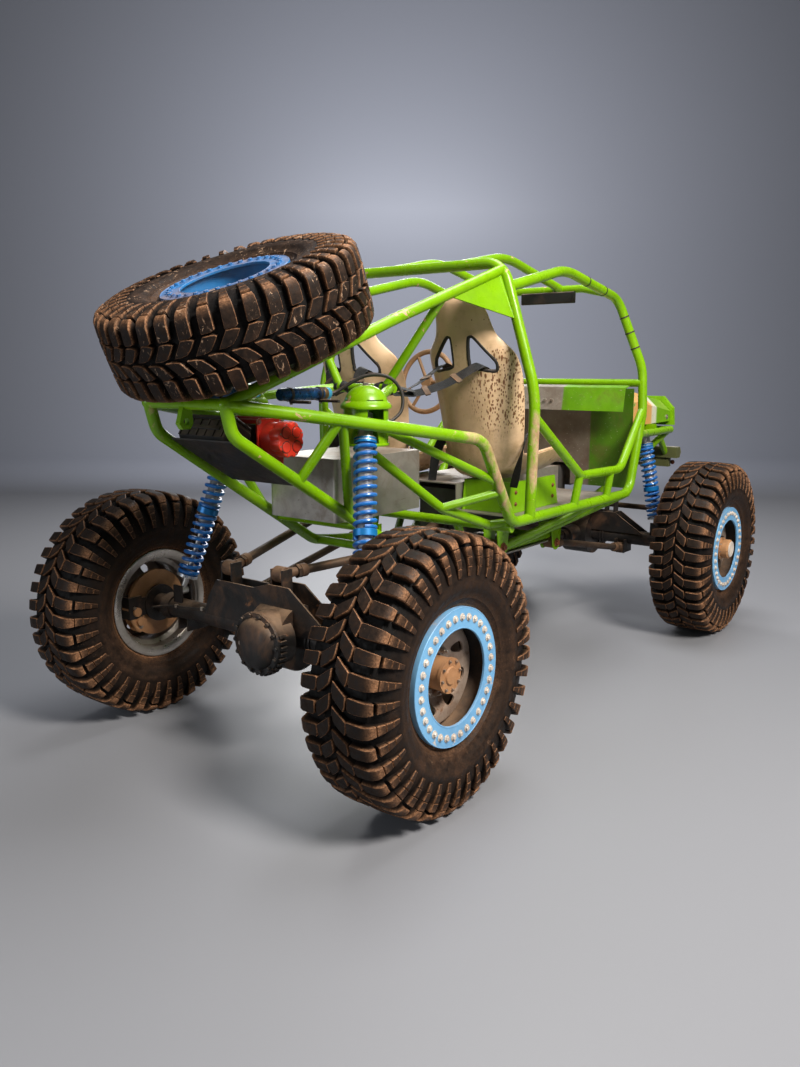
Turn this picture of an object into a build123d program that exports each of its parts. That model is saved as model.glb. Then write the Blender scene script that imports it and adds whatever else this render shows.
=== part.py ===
from build123d import *
import os
from math import sin, cos, radians, sqrt

os.makedirs("parts", exist_ok=True)

# Competition off-road vehicle: a two-seat tube-frame rock crawler.
# Millimetres. X forward, Y left, Z up, ground at Z = 0.
# Stations (x in the tables) are measured from the rear axle; pt() moves them
# to the shared frame, whose origin is under the middle of the whole vehicle.

# ---- driving dimensions ------------------------------------------------------
wheelbase = 2839.0
rear_x = -1364.4          # rear axle in the shared frame
front_x = rear_x + wheelbase
half_track = 812.0        # wheel centre plane
tyre_r = 508.0            # 40 inch tyre
axle_z = tyre_r
kingpin_y = 660.0         # steering axis
arm_x = 155.0             # steering arm length, ahead of the axle

cage_d = 50.0             # main cage tube
stay_d = 47.0             # rear stays and rails
brace_d = 40.0            # braces
axle_tube_r = 44.0
link_r = 19.0

hoop_x = 1050.0           # main hoop station
sill_z = 894.0            # sill tube height
sill_y = 622.0            # sill tube half width
belly_z = 686.0
belly_y = 330.0

spare_tilt = 22.8         # spare wheel leans back
spare_x, spare_z = -106.0, 1768.0

tower_x, tower_y, tower_r = 236.0, 344.0, 88.0
tower_z0, tower_z1 = 1268.0, 1420.0


def pt(x, y, z):
    return (x + rear_x, y, z)


def fx(x):
    return x + wheelbase


def tube(points, bends, dia):
    """One bent round tube added to the part being built."""
    with BuildLine(mode=Mode.PRIVATE) as path:
        if len(points) == 2:
            Line(points[0], points[1])
        else:
            FilletPolyline(*points, radius=bends)
    with BuildSketch(Plane(origin=path.line @ 0, z_dir=path.line % 0)) as ring:
        Circle(dia / 2)
    sweep(ring.sketch, path=path.line)


def tubes(table, sides=(1, -1)):
    """Rows: (tube diameter, bend radii, ((x, y, z), ...)); y is turned over for the right side."""
    for side in sides:
        for dia, bends, pts in table:
            tube([pt(x, side * y, z) for x, y, z in pts], list(bends), dia)


def block(x0, x1, y0, y1, z0, z1, mode=Mode.ADD):
    with Locations(pt((x0 + x1) / 2, (y0 + y1) / 2, (z0 + z1) / 2)):
        Box(abs(x1 - x0), abs(y1 - y0), abs(z1 - z0), mode=mode)


def rod(x, y, z, r, length, axis, mode=Mode.ADD):
    turn = {"X": (0, 90, 0), "Y": (90, 0, 0), "Z": (0, 0, 0)}[axis]
    with Locations(pt(x, y, z)):
        Cylinder(r, length, rotation=turn, mode=mode)


def plate(corners, thick):
    """Flat plate through three or more corners, thick to both sides of their plane."""
    p = [Vector(*pt(*c)) for c in corners]
    pl = Plane(origin=p[0], x_dir=p[1] - p[0], z_dir=(p[1] - p[0]).cross(p[2] - p[0]))
    local = [pl.to_local_coords(v) for v in p]
    with BuildSketch(pl) as face:
        Polygon(*[(v.X, v.Y) for v in local], align=None)
    extrude(face.sketch, amount=thick / 2, both=True)


def side_cut(profile, y0, y1, mode=Mode.ADD):
    """Profile of (x, z) corners, carried from y0 to y1."""
    with BuildSketch(Plane(origin=pt(0, y0, 0), x_dir=(1, 0, 0), z_dir=(0, -1, 0))) as face:
        Polygon(*profile, align=None)
    extrude(face.sketch, amount=-(y1 - y0), mode=mode)


def front_cut(profile, x0, x1, mode=Mode.ADD):
    """Profile of (y, z) corners, carried from x0 to x1."""
    with BuildSketch(Plane(origin=pt(x0, 0, 0), x_dir=(0, 1, 0), z_dir=(1, 0, 0))) as face:
        Polygon(*profile, align=None)
    extrude(face.sketch, amount=x1 - x0, mode=mode)


def wheel_plane(centre, out, up):
    """Sketch plane of a wheel section: first axis outward, second axis radial."""
    return Plane(origin=centre, x_dir=out, z_dir=Vector(*out).cross(Vector(*up)))


def save(build, name):
    build.part.label = name
    export_step(build.part, "parts/" + name + ".step")


# ---- cage ----------------------------------------------------------------------
with BuildPart() as main_hoop:
    tube([pt(hoop_x, -622, 900), pt(hoop_x, -635, 1450), pt(hoop_x, -455, 2022),
          pt(hoop_x, 455, 2022), pt(hoop_x, 635, 1450), pt(hoop_x, 622, 900)],
         [600, 120, 120, 600], cage_d)
save(main_hoop, "main_hoop")

with BuildPart() as side_frames:
    tubes((
        # dia, bends, line from the tail corner round the door opening to the hoop
        (cage_d - 1, (110, 90, 100, 300, 250, 110, 500),
         ((-365, 212, 1438), (659, 615, 1274), (890, sill_y, sill_z), (2125, sill_y, sill_z),
          (2262, sill_y, 1330), (2285, 600, 1560), (2195, 480, 1930), (1640, 450, 2040),
          (hoop_x, 478, 1915))),
        # door bar and its two posts
        (44, (110, 110), ((hoop_x, 633, 1350), (1505, 640, 1048), (1960, 640, 1040), (2264, 620, 1340))),
        (brace_d, (), ((1500, 639, 1050), (1478, sill_y, sill_z))),
        (brace_d, (), ((1850, 639, 1042), (1840, sill_y, sill_z))),
    ))
    add(main_hoop.part, mode=Mode.SUBTRACT)
save(side_frames, "side_frames")

with BuildPart() as roof_bars:
    tubes(((44, (600,), ((hoop_x, 200, 2022), (1480, 200, 2105), (2076, 200, 1985))),))
    tubes(((42, (120, 120), ((2087, 472, 1952), (2075, 330, 1985), (2075, -330, 1985), (2087, -472, 1952))),
           (42, (), ((2270, 606, 1482), (2270, -606, 1482)))), sides=(1,))
    add(main_hoop.part, mode=Mode.SUBTRACT)
    add(side_frames.part, mode=Mode.SUBTRACT)
save(roof_bars, "roof_bars")


def tail_z(x):
    """Height of the lower tail rail at a station."""
    return 1325 - (x + 335) * 560 / 910


def tail_y(x):
    return 212 + (x + 335) * 58 / 910


with BuildPart() as rear_frame:
    tubes((
        # dia, bends, line
        (stay_d - 1, (700,), ((1048, 452, 1992), (400, 350, 1752), (-365, 212, 1438))),
        (stay_d, (90, 200, 300), ((-365, 212, 1438), (-335, 212, 1325), (575, 270, 765), (1130, 328, 690), (1190, belly_y, belly_z))),
        (brace_d, (), ((50, 375, 1372), (-30, tail_y(-30), tail_z(-30)))),
        (brace_d - 2, (), ((60, 379, 1371), (240, tail_y(240), tail_z(240)))),
        (brace_d, (150,), ((tower_x, 258, 1300), (600, 450, 980), (860, 520, 882))),
        (brace_d - 2, (), ((300, 380, 1330), (775, 618, 1085))),
        (brace_d - 3, (), ((600, 450, 980), (800, 619, 1042))),
        (brace_d - 3, (), ((860, 520, 882), (935, sill_y, sill_z))),
        (brace_d - 2, (), ((682, 394, 1856), (620, 130, 1478))),
        (brace_d - 1, (), ((620, 160, 1476), (tower_x + 70, tower_y, 1440))),
        (brace_d, (), ((905, 322, 868), (1000, 314, 707))),
    ))
    tubes((
        (44, (), ((-365, 212, 1438), (-365, -212, 1438))),
        (brace_d, (), ((620, 182, 1476), (620, -182, 1476))),
        (brace_d, (), ((330, tail_y(330), tail_z(330)), (330, -tail_y(330), tail_z(330)))),
        (brace_d, (), ((600, 272, 762), (600, -272, 762))),
        (brace_d + 2, (), ((905, 618, 870), (905, -618, 870))),
    ), sides=(1,))
    for side in (1, -1):
        with Locations(pt(-365, side * 212, 1438)):
            Sphere(27)
        # upper link ears: left on the long cross tube, right on the short one
        for ear in (-34, 26):
            if side > 0:
                block(828, 905, 400 + ear, 400 + ear + 8, 846, 892)
            else:
                block(530, 600, -190 + ear, -190 + ear + 8, 742, 786)
        # lower link ear on the belly rail
        block(1152, 1178, side * 345, side * 434, 702, 750)
        for ear in (366, 426):
            block(1104, 1160, side * ear, side * (ear + 8), 703, 749)
    for side in (1, -1):
        rod(tower_x, side * tower_y, 1385, tower_r, 240, "Z", mode=Mode.SUBTRACT)
    add(main_hoop.part, mode=Mode.SUBTRACT)
    add(side_frames.part, mode=Mode.SUBTRACT)
save(rear_frame, "rear_frame")

with BuildPart() as rear_tow_ear:
    side_cut(((-382, 1436), (-348, 1436), (-342, 1366), (-356, 1346), (-390, 1346), (-404, 1366)), -12, 12)
    rod(-373, 0, 1374, 13, 60, "Y", mode=Mode.SUBTRACT)
    add(rear_frame.part, mode=Mode.SUBTRACT)
save(rear_tow_ear, "rear_tow_ear")

with BuildPart() as shock_towers:
    wall = 6.0
    for side in (1, -1):
        with BuildSketch(Plane(origin=pt(tower_x, side * tower_y, 0), x_dir=(1, 0, 0), z_dir=(0, -1, 0))):
            with BuildLine():
                Polyline((0, tower_z1 + 78), (0, tower_z1 + 78 - wall))
                ThreePointArc((0, tower_z1 + 78 - wall), (58, tower_z1 + 52), (tower_r - wall, tower_z1))
                Polyline((tower_r - wall, tower_z1), (tower_r - wall, tower_z0), (tower_r, tower_z0), (tower_r, tower_z1))
                ThreePointArc((tower_r, tower_z1), (63, tower_z1 + 56), (0, tower_z1 + 78))
            make_face()
        revolve(axis=Axis(pt(tower_x, side * tower_y, 0), (0, 0, 1)))
        # window toward the rear and outside
        with Locations(Location(pt(tower_x, side * tower_y, 1400), (0, 0, side * 112))):
            with Locations((tower_r, 0, 0)):
                Box(tower_r, 70, 88, mode=Mode.SUBTRACT)
        # clear way for the coil-over
        low, top = Vector(*pt(0, side * 530, 592)), Vector(*pt(226, side * 350, 1420))
        way = (top - low).normalized()
        with BuildSketch(Plane(origin=low + way * 600, z_dir=way)):
            Circle(54)
        extrude(amount=180, mode=Mode.SUBTRACT)
    add(side_frames.part, mode=Mode.SUBTRACT)
    add(rear_frame.part, mode=Mode.SUBTRACT)
save(shock_towers, "shock_towers")

with BuildPart() as cage_gussets:
    for side in (1, -1):
        plate(((700, side * 397, 1862), (1040, side * 450, 1995), (1050, side * 540, 1772)), 6)
    add(main_hoop.part, mode=Mode.SUBTRACT)
    add(rear_frame.part, mode=Mode.SUBTRACT)
    add(side_frames.part, mode=Mode.SUBTRACT)
save(cage_gussets, "cage_gussets")

with BuildPart() as belly_frame:
    tubes((
        (stay_d - 1, (), ((1190, belly_y, belly_z), (1750, belly_y, belly_z))),
        (brace_d, (), ((1290, belly_y, belly_z), (1800, sill_y, sill_z))),
        (brace_d, (), ((1440, belly_y, belly_z), (2110, sill_y, sill_z))),
    ))
    tubes((
        (brace_d, (), ((1215, belly_y, belly_z), (1215, -belly_y, belly_z))),
        (brace_d, (), ((1690, belly_y, belly_z), (1690, -belly_y, belly_z))),
    ), sides=(1,))
    add(side_frames.part, mode=Mode.SUBTRACT)
    add(rear_frame.part, mode=Mode.SUBTRACT)
save(belly_frame, "belly_frame")

with BuildPart() as front_frame:
    tubes((
        (stay_d - 2, (500, 350), ((1750, belly_y, belly_z), (1850, belly_y - 4, 708), (2550, 300, 860), (3190, 400, 1160))),
        (44, (350,), ((2244, 620, 1204), (2620, 492, 1182), (3205, 416, 1172))),
        (brace_d, (), ((3120, 384, 1128), (3262, 372, 1010))),
    ))
    tubes((
        (42, (), ((3205, 416, 1172), (3205, -416, 1172))),
        (42, (), ((2085, 316, 762), (2085, -316, 762))),
    ), sides=(1,))
    for side in (1, -1):
        with Locations(pt(3205, side * 416, 1172)):
            Sphere(24)
        # upper link ears
        for ear in (196, 256):
            block(2085, 2160, side * ear, side * (ear + 8), 743, 787)
        # lower link ears under the rail
        for ear in (296, 356):
            block(1766, 1814, side * ear, side * (ear + 8), 618, 690)
        block(1766, 1814, side * 296, side * 364, 676, 690)
        # coil-over ears inboard of the upper rail
        for ear in (fx(-30), fx(22)):
            block(ear, ear + 8, side * 364, side * 462, 1180, 1226)
    add(side_frames.part, mode=Mode.SUBTRACT)
    add(belly_frame.part, mode=Mode.SUBTRACT)
save(front_frame, "front_frame")

# ---- panels ----------------------------------------------------------------------
with BuildPart() as skid_plate:
    front_cut(((-352, 651), (352, 651), (352, 659), (-352, 659)), 1130, 1730)
save(skid_plate, "skid_plate")

with BuildPart() as floor_pan:
    # two foot wells with a raised tunnel between them
    front_cut(((-562, 880), (-190, 880), (-190, 1010), (190, 1010), (190, 880), (562, 880), (562, 886),
               (196, 886), (196, 1016), (-196, 1016), (-196, 886), (-562, 886)), 1085, 2115)
save(floor_pan, "floor_pan")

with BuildPart() as firewall:
    front_cut(((-572, 900), (-202, 900), (-202, 1022), (202, 1022), (202, 900), (572, 900), (572, 1452), (-572, 1452)), 2250, 2256)
    add(side_frames.part, mode=Mode.SUBTRACT)
save(firewall, "firewall")

with BuildPart() as dash_panel:
    side_cut(((2140, 1330), (2146, 1330), (2168, 1452), (2214, 1464), (2214, 1470), (2163, 1458)), -560, 560)
    add(side_frames.part, mode=Mode.SUBTRACT)
save(dash_panel, "dash_panel")

hood_z0 = 1226.0
# rows: station, half width, shoulder height, crown height
hood_rows = ((2296.0, 428.0, 1392.0, 1476.0), (2760.0, 428.0, 1350.0, 1432.0), (3222.0, 404.0, 1292.0, 1372.0))
with BuildPart() as hood:
    skin = 6.0
    for inset, mode in ((0.0, Mode.ADD), (skin, Mode.SUBTRACT)):
        for k, (x, w, shoulder, crown) in enumerate(hood_rows):
            edge = x + (0 if 0 < k < 2 else (-inset if k == 0 else inset))
            with BuildSketch(Plane(origin=pt(edge, 0, 0), x_dir=(0, 1, 0), z_dir=(1, 0, 0))):
                with BuildLine():
                    w1, s1, c1, z1 = w - inset, shoulder - inset, crown - inset, hood_z0 - inset
                    Polyline((-w1, s1), (-w1, z1), (w1, z1), (w1, s1))
                    Line((w1, s1), (w1 - 70, c1 - 16))
                    ThreePointArc((w1 - 70, c1 - 16), (0, c1), (-w1 + 70, c1 - 16))
                    Line((-w1 + 70, c1 - 16), (-w1, s1))
                make_face()
        loft(ruled=True, mode=mode)
save(hood, "hood")

with BuildPart() as nose_panel:
    front_cut(((-426, 1200), (426, 1200), (418, 1310), (350, 1384), (-350, 1384), (-418, 1310)), 3228, 3262)
    front_cut(((-330, 1222), (330, 1222), (330, 1330), (-330, 1330)), 3228, 3262, mode=Mode.SUBTRACT)
save(nose_panel, "nose_panel")

with BuildPart() as front_bumper:
    side_cut(((3240, 985), (3300, 985), (3322, 1020), (3300, 1056), (3240, 1056)), -455, 455)
    side_cut(((3252, 925), (3292, 925), (3292, 985), (3252, 985)), -400, 400)
    add(front_frame.part, mode=Mode.SUBTRACT)
save(front_bumper, "front_bumper")

with BuildPart() as front_tow_ears:
    for side in (1, -1):
        side_cut(((3270, 984), (3310, 984), (3328, 962), (3328, 938), (3312, 924), (3270, 930)), side * 240 - 12, side * 240 + 12)
        rod(3309, side * 240, 952, 12, 60, "Y", mode=Mode.SUBTRACT)
    add(front_bumper.part, mode=Mode.SUBTRACT)
save(front_tow_ears, "front_tow_ears")

# ---- seats and controls --------------------------------------------------------------
# rows: name, seat centre y, setback, drop
seat_rows = (("right_seat", -272.0, 0.0, 0.0), ("left_seat", 290.0, -150.0, -16.0))
seat_half = 236.0


def moved(profile, dx, dz):
    """The same corners, moved in their plane."""
    return tuple((x + dx, z + dz) for x, z in profile)


for name, cy, back, drop in seat_rows:
    with BuildPart() as seat:
        # back rest and base, then cut to the outline seen from behind, with two harness slots
        side_cut(moved(((958, 1876), (1016, 1876), (1132, 1140), (1184, 1072), (1580, 1066), (1630, 1118), (1656, 1112),
                        (1604, 1036), (1130, 1036), (1086, 1120)), back, drop), cy - seat_half, cy + seat_half)
        with BuildSketch(Plane(origin=pt(900 + back, cy, drop), x_dir=(0, 1, 0), z_dir=(1, 0, 0))):
            Polygon((-126, 1876), (126, 1876), (134, 1790), (176, 1712), (236, 1650), (236, 1030), (-236, 1030),
                    (-236, 1650), (-176, 1712), (-134, 1790), align=None)
            for side in (1, -1):
                with Locations((side * 82, 1606)):
                    Rectangle(66, 92, mode=Mode.SUBTRACT)
        extrude(amount=800, mode=Mode.INTERSECT)
        for side in (1, -1):
            y0, y1 = sorted((side * (seat_half - 44), side * seat_half))
            side_cut(moved(((992, 1650), (1120, 1640), (1196, 1560), (1216, 1380), (1300, 1236), (1420, 1176), (1640, 1150),
                            (1640, 1060), (1600, 1036), (1130, 1036), (1086, 1120)), back, drop), cy + y0, cy + y1)
    save(seat, name)

with BuildPart() as seat_frames:
    # three-sided sheet box under each seat, standing on the floor
    for name, cy, back, drop in seat_rows:
        side = 1 if cy > 0 else -1
        for y in (side * 209, side * 467):
            side_cut(((1118 + back, 887), (1600 + back, 887), (1560 + back, 1035 + drop), (1140 + back, 1035 + drop)), y - 3, y + 3)
        block(1140 + back, 1146 + back, side * 206, side * 470, 887, 1035 + drop)
save(seat_frames, "seat_frames")

wheel_c = Vector(*pt(1560, 330, 1490))
column_dir = Vector(600, 0, -112).normalized()
with BuildPart() as steering_wheel:
    rim_plane = Plane(origin=wheel_c, z_dir=column_dir)
    with Locations(rim_plane):
        Torus(165, 14)
        Cylinder(32, 30)
    for ang in (90, 210, 330):
        a = radians(ang)
        spoke = rim_plane.from_local_coords(Vector(162 * cos(a), 162 * sin(a), 0))
        tube([tuple(wheel_c), tuple(spoke)], [], 18)
save(steering_wheel, "steering_wheel")

with BuildPart() as steering_column:
    tube([tuple(wheel_c + column_dir * 21), tuple(wheel_c + column_dir * 640)], [], 40)
    add(dash_panel.part, mode=Mode.SUBTRACT)
    block(2150, 2320, 250, 420, 1300, 1480, mode=Mode.SUBTRACT)
save(steering_column, "steering_column")

with BuildPart() as mirror:
    block(1938, 1964, -345, -30, 1902, 1962)
    fillet(mirror.edges().filter_by(Axis.Y), 8)
    tube([pt(1955, -187, 1940), pt(2068, -187, 1984)], [], 16)
    add(roof_bars.part, mode=Mode.SUBTRACT)
save(mirror, "mirror")

# ---- drive train ------------------------------------------------------------------
with BuildPart() as engine_block:
    block(2330, 2930, -215, 215, 880, 1330)
    chamfer(engine_block.edges().filter_by(Axis.X), 50)
save(engine_block, "engine_block")

with BuildPart() as gearbox:
    block(1640, 2329, -130, 130, 815, 1000)
    block(1250, 1650, -145, 145, 735, 960)
    rod(1240, 0, 788, 45, 30, "X")
save(gearbox, "gearbox")

# rows: station and height of the gearbox end; station, y and height of the axle end
shaft_rows = ((1212, 784, 308, -112, 524), (1664, 762, fx(-308), 0, 524))
with BuildPart() as driveshafts:
    for xa, za, xb, yb, zb in shaft_rows:
        tube([pt(xa, 0, za), pt(xb, yb, zb)], [], 64)
save(driveshafts, "driveshafts")

# ---- axles ---------------------------------------------------------------------------
# truss outlines over the axle tubes, (y, z) corners
rear_truss = ((-436, 530), (-330, 606), (-180, 716), (-66, 716), (20, 690), (244, 690), (300, 610), (330, 530))
front_truss = ((-440, 540), (-250, 662), (250, 662), (440, 540))
# rows: name, station, sign of the pinion direction, steered, diff centre y, upper link y, truss
axle_rows = (
    ("rear_axle", 0.0, 1, False, -112, (202, -95), rear_truss),
    ("front_axle", wheelbase, -1, True, 0, (202, -202), front_truss),
)
for name, x0, nose, steered, dy, upper, truss in axle_rows:
    with BuildPart() as axle:
        end = 640 if steered else 694
        rod(x0, 0, axle_z, axle_tube_r, 2 * end, "Y")
        rod(x0, dy, axle_z, 132, 180, "Y")
        rod(x0 - nose * 110, dy, axle_z, 118, 100, "X")
        rod(x0 + nose * 185, dy, axle_z + 6, 58, 130, "X")
        rod(x0 + nose * 265, dy, axle_z + 10, 40, 60, "X")
        for dx in (-48, 40):
            front_cut(truss, x0 + dx, x0 + dx + 8)
        for ly in upper:
            # upper link ears
            for ear in (-34, 26):
                block(x0 - 28, x0 + 28, ly + ear, ly + ear + 8, 600, 776 if ly == -95 else 766)
            block(x0 - 44, x0 + 44, ly - 42, ly + 42, 630, 662)
        for side in (1, -1):
            # coil-over ears
            cy = 505 if steered else 530
            for ear in (-30, 22):
                block(x0 + ear, x0 + ear + 8, side * (cy - 28), side * (cy + 28), 530, 618)
            # lower link ears
            ly = 300 if steered else 500
            for ear in (-34, 26):
                block(min(x0 - 30, x0 + nose * 80), max(x0 + 30, x0 + nose * 80),
                      side * (ly + ear), side * (ly + ear + 8), 418, 500)
            if steered:
                rod(x0, side * kingpin_y, axle_z, 34, 188, "Z")
                rod(x0, side * kingpin_y, axle_z, 14, 256, "Z")
            else:
                rod(x0, side * 780, axle_z, 36, 172, "Y")
                rod(x0, side * 698, axle_z, 84, 12, "Y")
                # brake caliper round the disc
                block(-166, -70, side * 697, side * 709, 468, 548)
                block(-166, -98, side * 697, side * 762, 458, 558)
                block(-156, -90, side * 714, side * 750, 440, 570, mode=Mode.SUBTRACT)
    save(axle, name)

# ---- links and coil-overs ----------------------------------------------------------------
# rows: sides, axle end (x, y, z), frame end (x, y, z)
link_rows = (
    ((1,), (0, 202, 738), (850, 400, 868)),
    ((-1,), (0, 95, 752), (552, 190, 764)),
    ((1, -1), (52, 500, 444), (1126, 400, 726)),
    ((1, -1), (fx(0), 202, 738), (2134, 230, 766)),
    ((1, -1), (fx(-52), 300, 444), (1790, 330, 640)),
)
with BuildPart() as suspension_links:
    for sides, a, b in link_rows:
        for side in sides:
            tube([pt(a[0], side * a[1], a[2]), pt(b[0], side * b[1], b[2])], [], 2 * link_r)
            for x, y, z in (a, b):
                rod(x, side * y, z, 21, 50, "Y")
save(suspension_links, "suspension_links")

# rows: lower eye, upper eye, spring from, spring to, damper body from
coil_rows = (
    ((0, 530, 592), (226, 350, 1420), 78, 724, 330),
    ((fx(0), 505, 592), (fx(0), 388, 1204), 66, 500, 240),
)
with BuildPart() as coilovers:
    for side in (1, -1):
        for a, b, s0, s1, body in coil_rows:
            pa, pb = Vector(*pt(a[0], side * a[1], a[2])), Vector(*pt(b[0], side * b[1], b[2]))
            run = pb - pa
            length = run.length
            pl = Plane(origin=pa, x_dir=run, z_dir=run.cross(Vector(0, 1, 0)))
            with BuildSketch(pl):
                Polygon((0, 0), (0, 13), (s0 - 14, 13), (s0 - 14, 46), (s0 - 1, 46), (s0 - 1, 11), (body, 11), (body, 28),
                        (s1 + 1, 28), (s1 + 1, 44), (s1 + 24, 44), (s1 + 24, 30), (length - 34, 30), (length - 34, 13),
                        (length, 13), (length, 0), align=None)
            revolve(axis=Axis(pa, run))
            rod(a[0], side * a[1], a[2], 19, 40, "X")
            rod(b[0], side * b[1], b[2], 19, 40, "X")
save(coilovers, "coilovers")

with BuildPart() as coil_springs:
    for side in (1, -1):
        for a, b, s0, s1, body in coil_rows:
            pa, pb = Vector(*pt(a[0], side * a[1], a[2])), Vector(*pt(b[0], side * b[1], b[2]))
            run = pb - pa
            pl = Plane(origin=pa, x_dir=run, z_dir=run.cross(Vector(0, 1, 0)))
            with BuildSketch(pl):
                Polygon((s0, 32), (s1, 32), (s1, 47), (s0, 47), align=None)
            revolve(axis=Axis(pa, run))
save(coil_springs, "coil_springs")

# remote oil reservoirs beside the towers, held by two saddles on the quarter rail
res_y, res_z = 200.0, 1466.0
with BuildPart() as reservoirs:
    for side in (1, -1):
        rod(45, side * res_y, res_z, 24, 270, "X")
        for x in (-40, 120):
            rod(x, side * res_y, res_z, 27, 16, "X")
            block(x - 8, x + 8, side * res_y, side * (res_y + 142), res_z - 34, res_z - 20)
    add(side_frames.part, mode=Mode.SUBTRACT)
    add(rear_frame.part, mode=Mode.SUBTRACT)
    add(shock_towers.part, mode=Mode.SUBTRACT)
save(reservoirs, "reservoirs")

# hose from each reservoir over the tower to its wall
hose_line = ((181.4, 200, 1466), (222, 203, 1471), (298, 284, 1531), (356, 362, 1528), (392, 398, 1470), (382, 408, 1402), (345, 396, 1364), (318, 386, 1356))
with BuildPart() as damper_hoses:
    for side in (1, -1):
        tube([pt(x, side * y, z) for x, y, z in hose_line], [40, 40, 40, 38, 36, 26], 14)
    add(shock_towers.part, mode=Mode.SUBTRACT)
save(damper_hoses, "damper_hoses")

# ---- rear load -----------------------------------------------------------------------------
with BuildPart() as fuel_cell:
    block(225, 800, -196, 196, tail_z(330) + 21, 1200)
    fillet(fuel_cell.edges().filter_by(Axis.Z), 22)
save(fuel_cell, "fuel_cell")

with BuildPart() as winch_tray:
    side_cut(tuple((x, tail_z(x) + dz) for x, dz in ((-290, 0), (10, 0), (10, 6), (-290, 6))), -186, 186)
save(winch_tray, "winch_tray")

winch_x, winch_z = -70.0, 1290.0
with BuildPart() as winch:
    rod(winch_x, 0, winch_z, 46, 250, "Y")
    for side in (1, -1):
        rod(winch_x, side * 172, winch_z, 80, 116, "Y")
        y0, y1 = sorted((side * 116, side * 126))
        side_cut(((-125, tail_z(-125) + 6), (-15, tail_z(-15) + 6), (-15, winch_z), (-125, winch_z)), y0, y1)
    for dx in (-62, 62):
        rod(winch_x + dx, 0, winch_z + 30, 10, 250, "Y")
save(winch, "winch")

# ---- wheels -----------------------------------------------------------------------------------
t = radians(spare_tilt)
# rows: name, centre, outward axis, radial axis, long hub
wheel_rows = (
    ("rear_left", pt(0, half_track, axle_z), (0, 1, 0), (0, 0, 1), 0),
    ("rear_right", pt(0, -half_track, axle_z), (0, -1, 0), (0, 0, 1), 0),
    ("front_left", pt(wheelbase, half_track, axle_z), (0, 1, 0), (0, 0, 1), 1),
    ("front_right", pt(wheelbase, -half_track, axle_z), (0, -1, 0), (0, 0, 1), 1),
    ("spare", pt(spare_x, 0, spare_z), (-sin(t), 0, cos(t)), (cos(t), 0, sin(t)), None),
)
for name, centre, out, up, long_hub in wheel_rows:
    spin = Axis(centre, out)
    pl = wheel_plane(centre, out, up)
    with BuildPart() as tyre:
        with BuildSketch(pl):
            with BuildLine():
                # bead, side wall and shoulder of one side, crown, then back down the other side
                Polyline((84, 222), (110, 222), (110, 246))
                ThreePointArc((110, 246), (168, 366), (153, 474))
                ThreePointArc((153, 474), (141, 494), (118, 504))
                ThreePointArc((118, 504), (0, tyre_r), (-118, 504))
                ThreePointArc((-118, 504), (-141, 494), (-153, 474))
                ThreePointArc((-153, 474), (-168, 366), (-110, 246))
                Polyline((-110, 246), (-110, 222), (-84, 222))
                # inner skin
                ThreePointArc((-84, 222), (-138, 362), (-124, 456))
                Line((-124, 456), (-100, 470))
                ThreePointArc((-100, 470), (0, 474), (100, 470))
                Line((100, 470), (124, 456))
                ThreePointArc((124, 456), (138, 362), (84, 222))
            make_face()
        revolve(axis=spin)
    save(tyre, name + "_tyre")
    with BuildPart() as rim:
        with BuildSketch(pl):
            # barrel with its clamp ring on the outer side and a dished centre
            Polygon((-124, 238), (-112, 238), (-112, 215), (-82, 213), (-64, 188), (40, 188), (62, 213), (112, 215),
                    (112, 240), (124, 240), (124, 248), (139, 248), (139, 172), (130, 172), (124, 206), (74, 206), (68, 178), (64, 142),
                    (30, 104), (30, 66), (20, 66), (20, 108), (54, 146), (56, 180), (56, 203.6), (36, 180), (-60, 180), (-78, 206), (-124, 208), align=None)
        revolve(axis=spin)
        with Locations(Plane(origin=centre, x_dir=up, z_dir=out)):
            with PolarLocations(134, 8):
                Cylinder(21, 200, mode=Mode.SUBTRACT)
    save(rim, name + "_rim")
    if long_hub is None:
        continue
    with BuildPart() as hub:
        nose = 96
        with BuildSketch(pl):
            # brake disc, hat, wheel flange, hub body, drive flange, cap
            Polygon((-90, 42), (-90, 150), (-72, 150), (-72, 86), (8, 86), (8, 94), (19.5, 94), (19.5, 60), (nose, 60),
                    (nose, 64), (nose + 13, 64), (nose + 13, 34 + 22 * long_hub), (nose + 13 + 40 * long_hub, 34 + 22 * long_hub),
                    (nose + 19 + 40 * long_hub, 30 + 16 * long_hub), (nose + 21 + 40 * long_hub, 0), (64, 0), (64, 42), align=None)
        revolve(axis=spin)
    save(hub, name + "_hub")

with BuildPart() as spare_carrier:
    # cross tube between the rear stays and the post under the spare wheel
    def stay(x):
        return 350 + (x - 400) * 138 / 765, 1752 + (x - 400) * 314 / 765

    sy, sz = stay(40)
    tube([pt(40, sy, sz), pt(40, -sy, sz)], [], 40)
    base = Vector(*pt(spare_x, 0, spare_z)) + Vector(-sin(t), 0, cos(t)) * -38.5
    foot = base + Vector(-sin(t), 0, cos(t)) * -150
    with BuildSketch(Plane(origin=base, x_dir=(0, 1, 0), z_dir=(-sin(t), 0, cos(t)))):
        Circle(92)
    extrude(amount=-10)
    tube([tuple(base + Vector(-sin(t), 0, cos(t)) * -5), tuple(foot)], [], 80)
    tube([tuple(foot + Vector(-sin(t), 0, cos(t)) * 20), pt(40, 0, sz)], [], 38)
    tube([tuple(foot + Vector(-sin(t), 0, cos(t)) * 20), pt(-365, 0, 1438)], [], 36)
    add(rear_frame.part, mode=Mode.SUBTRACT)
save(spare_carrier, "spare_carrier")

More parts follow.
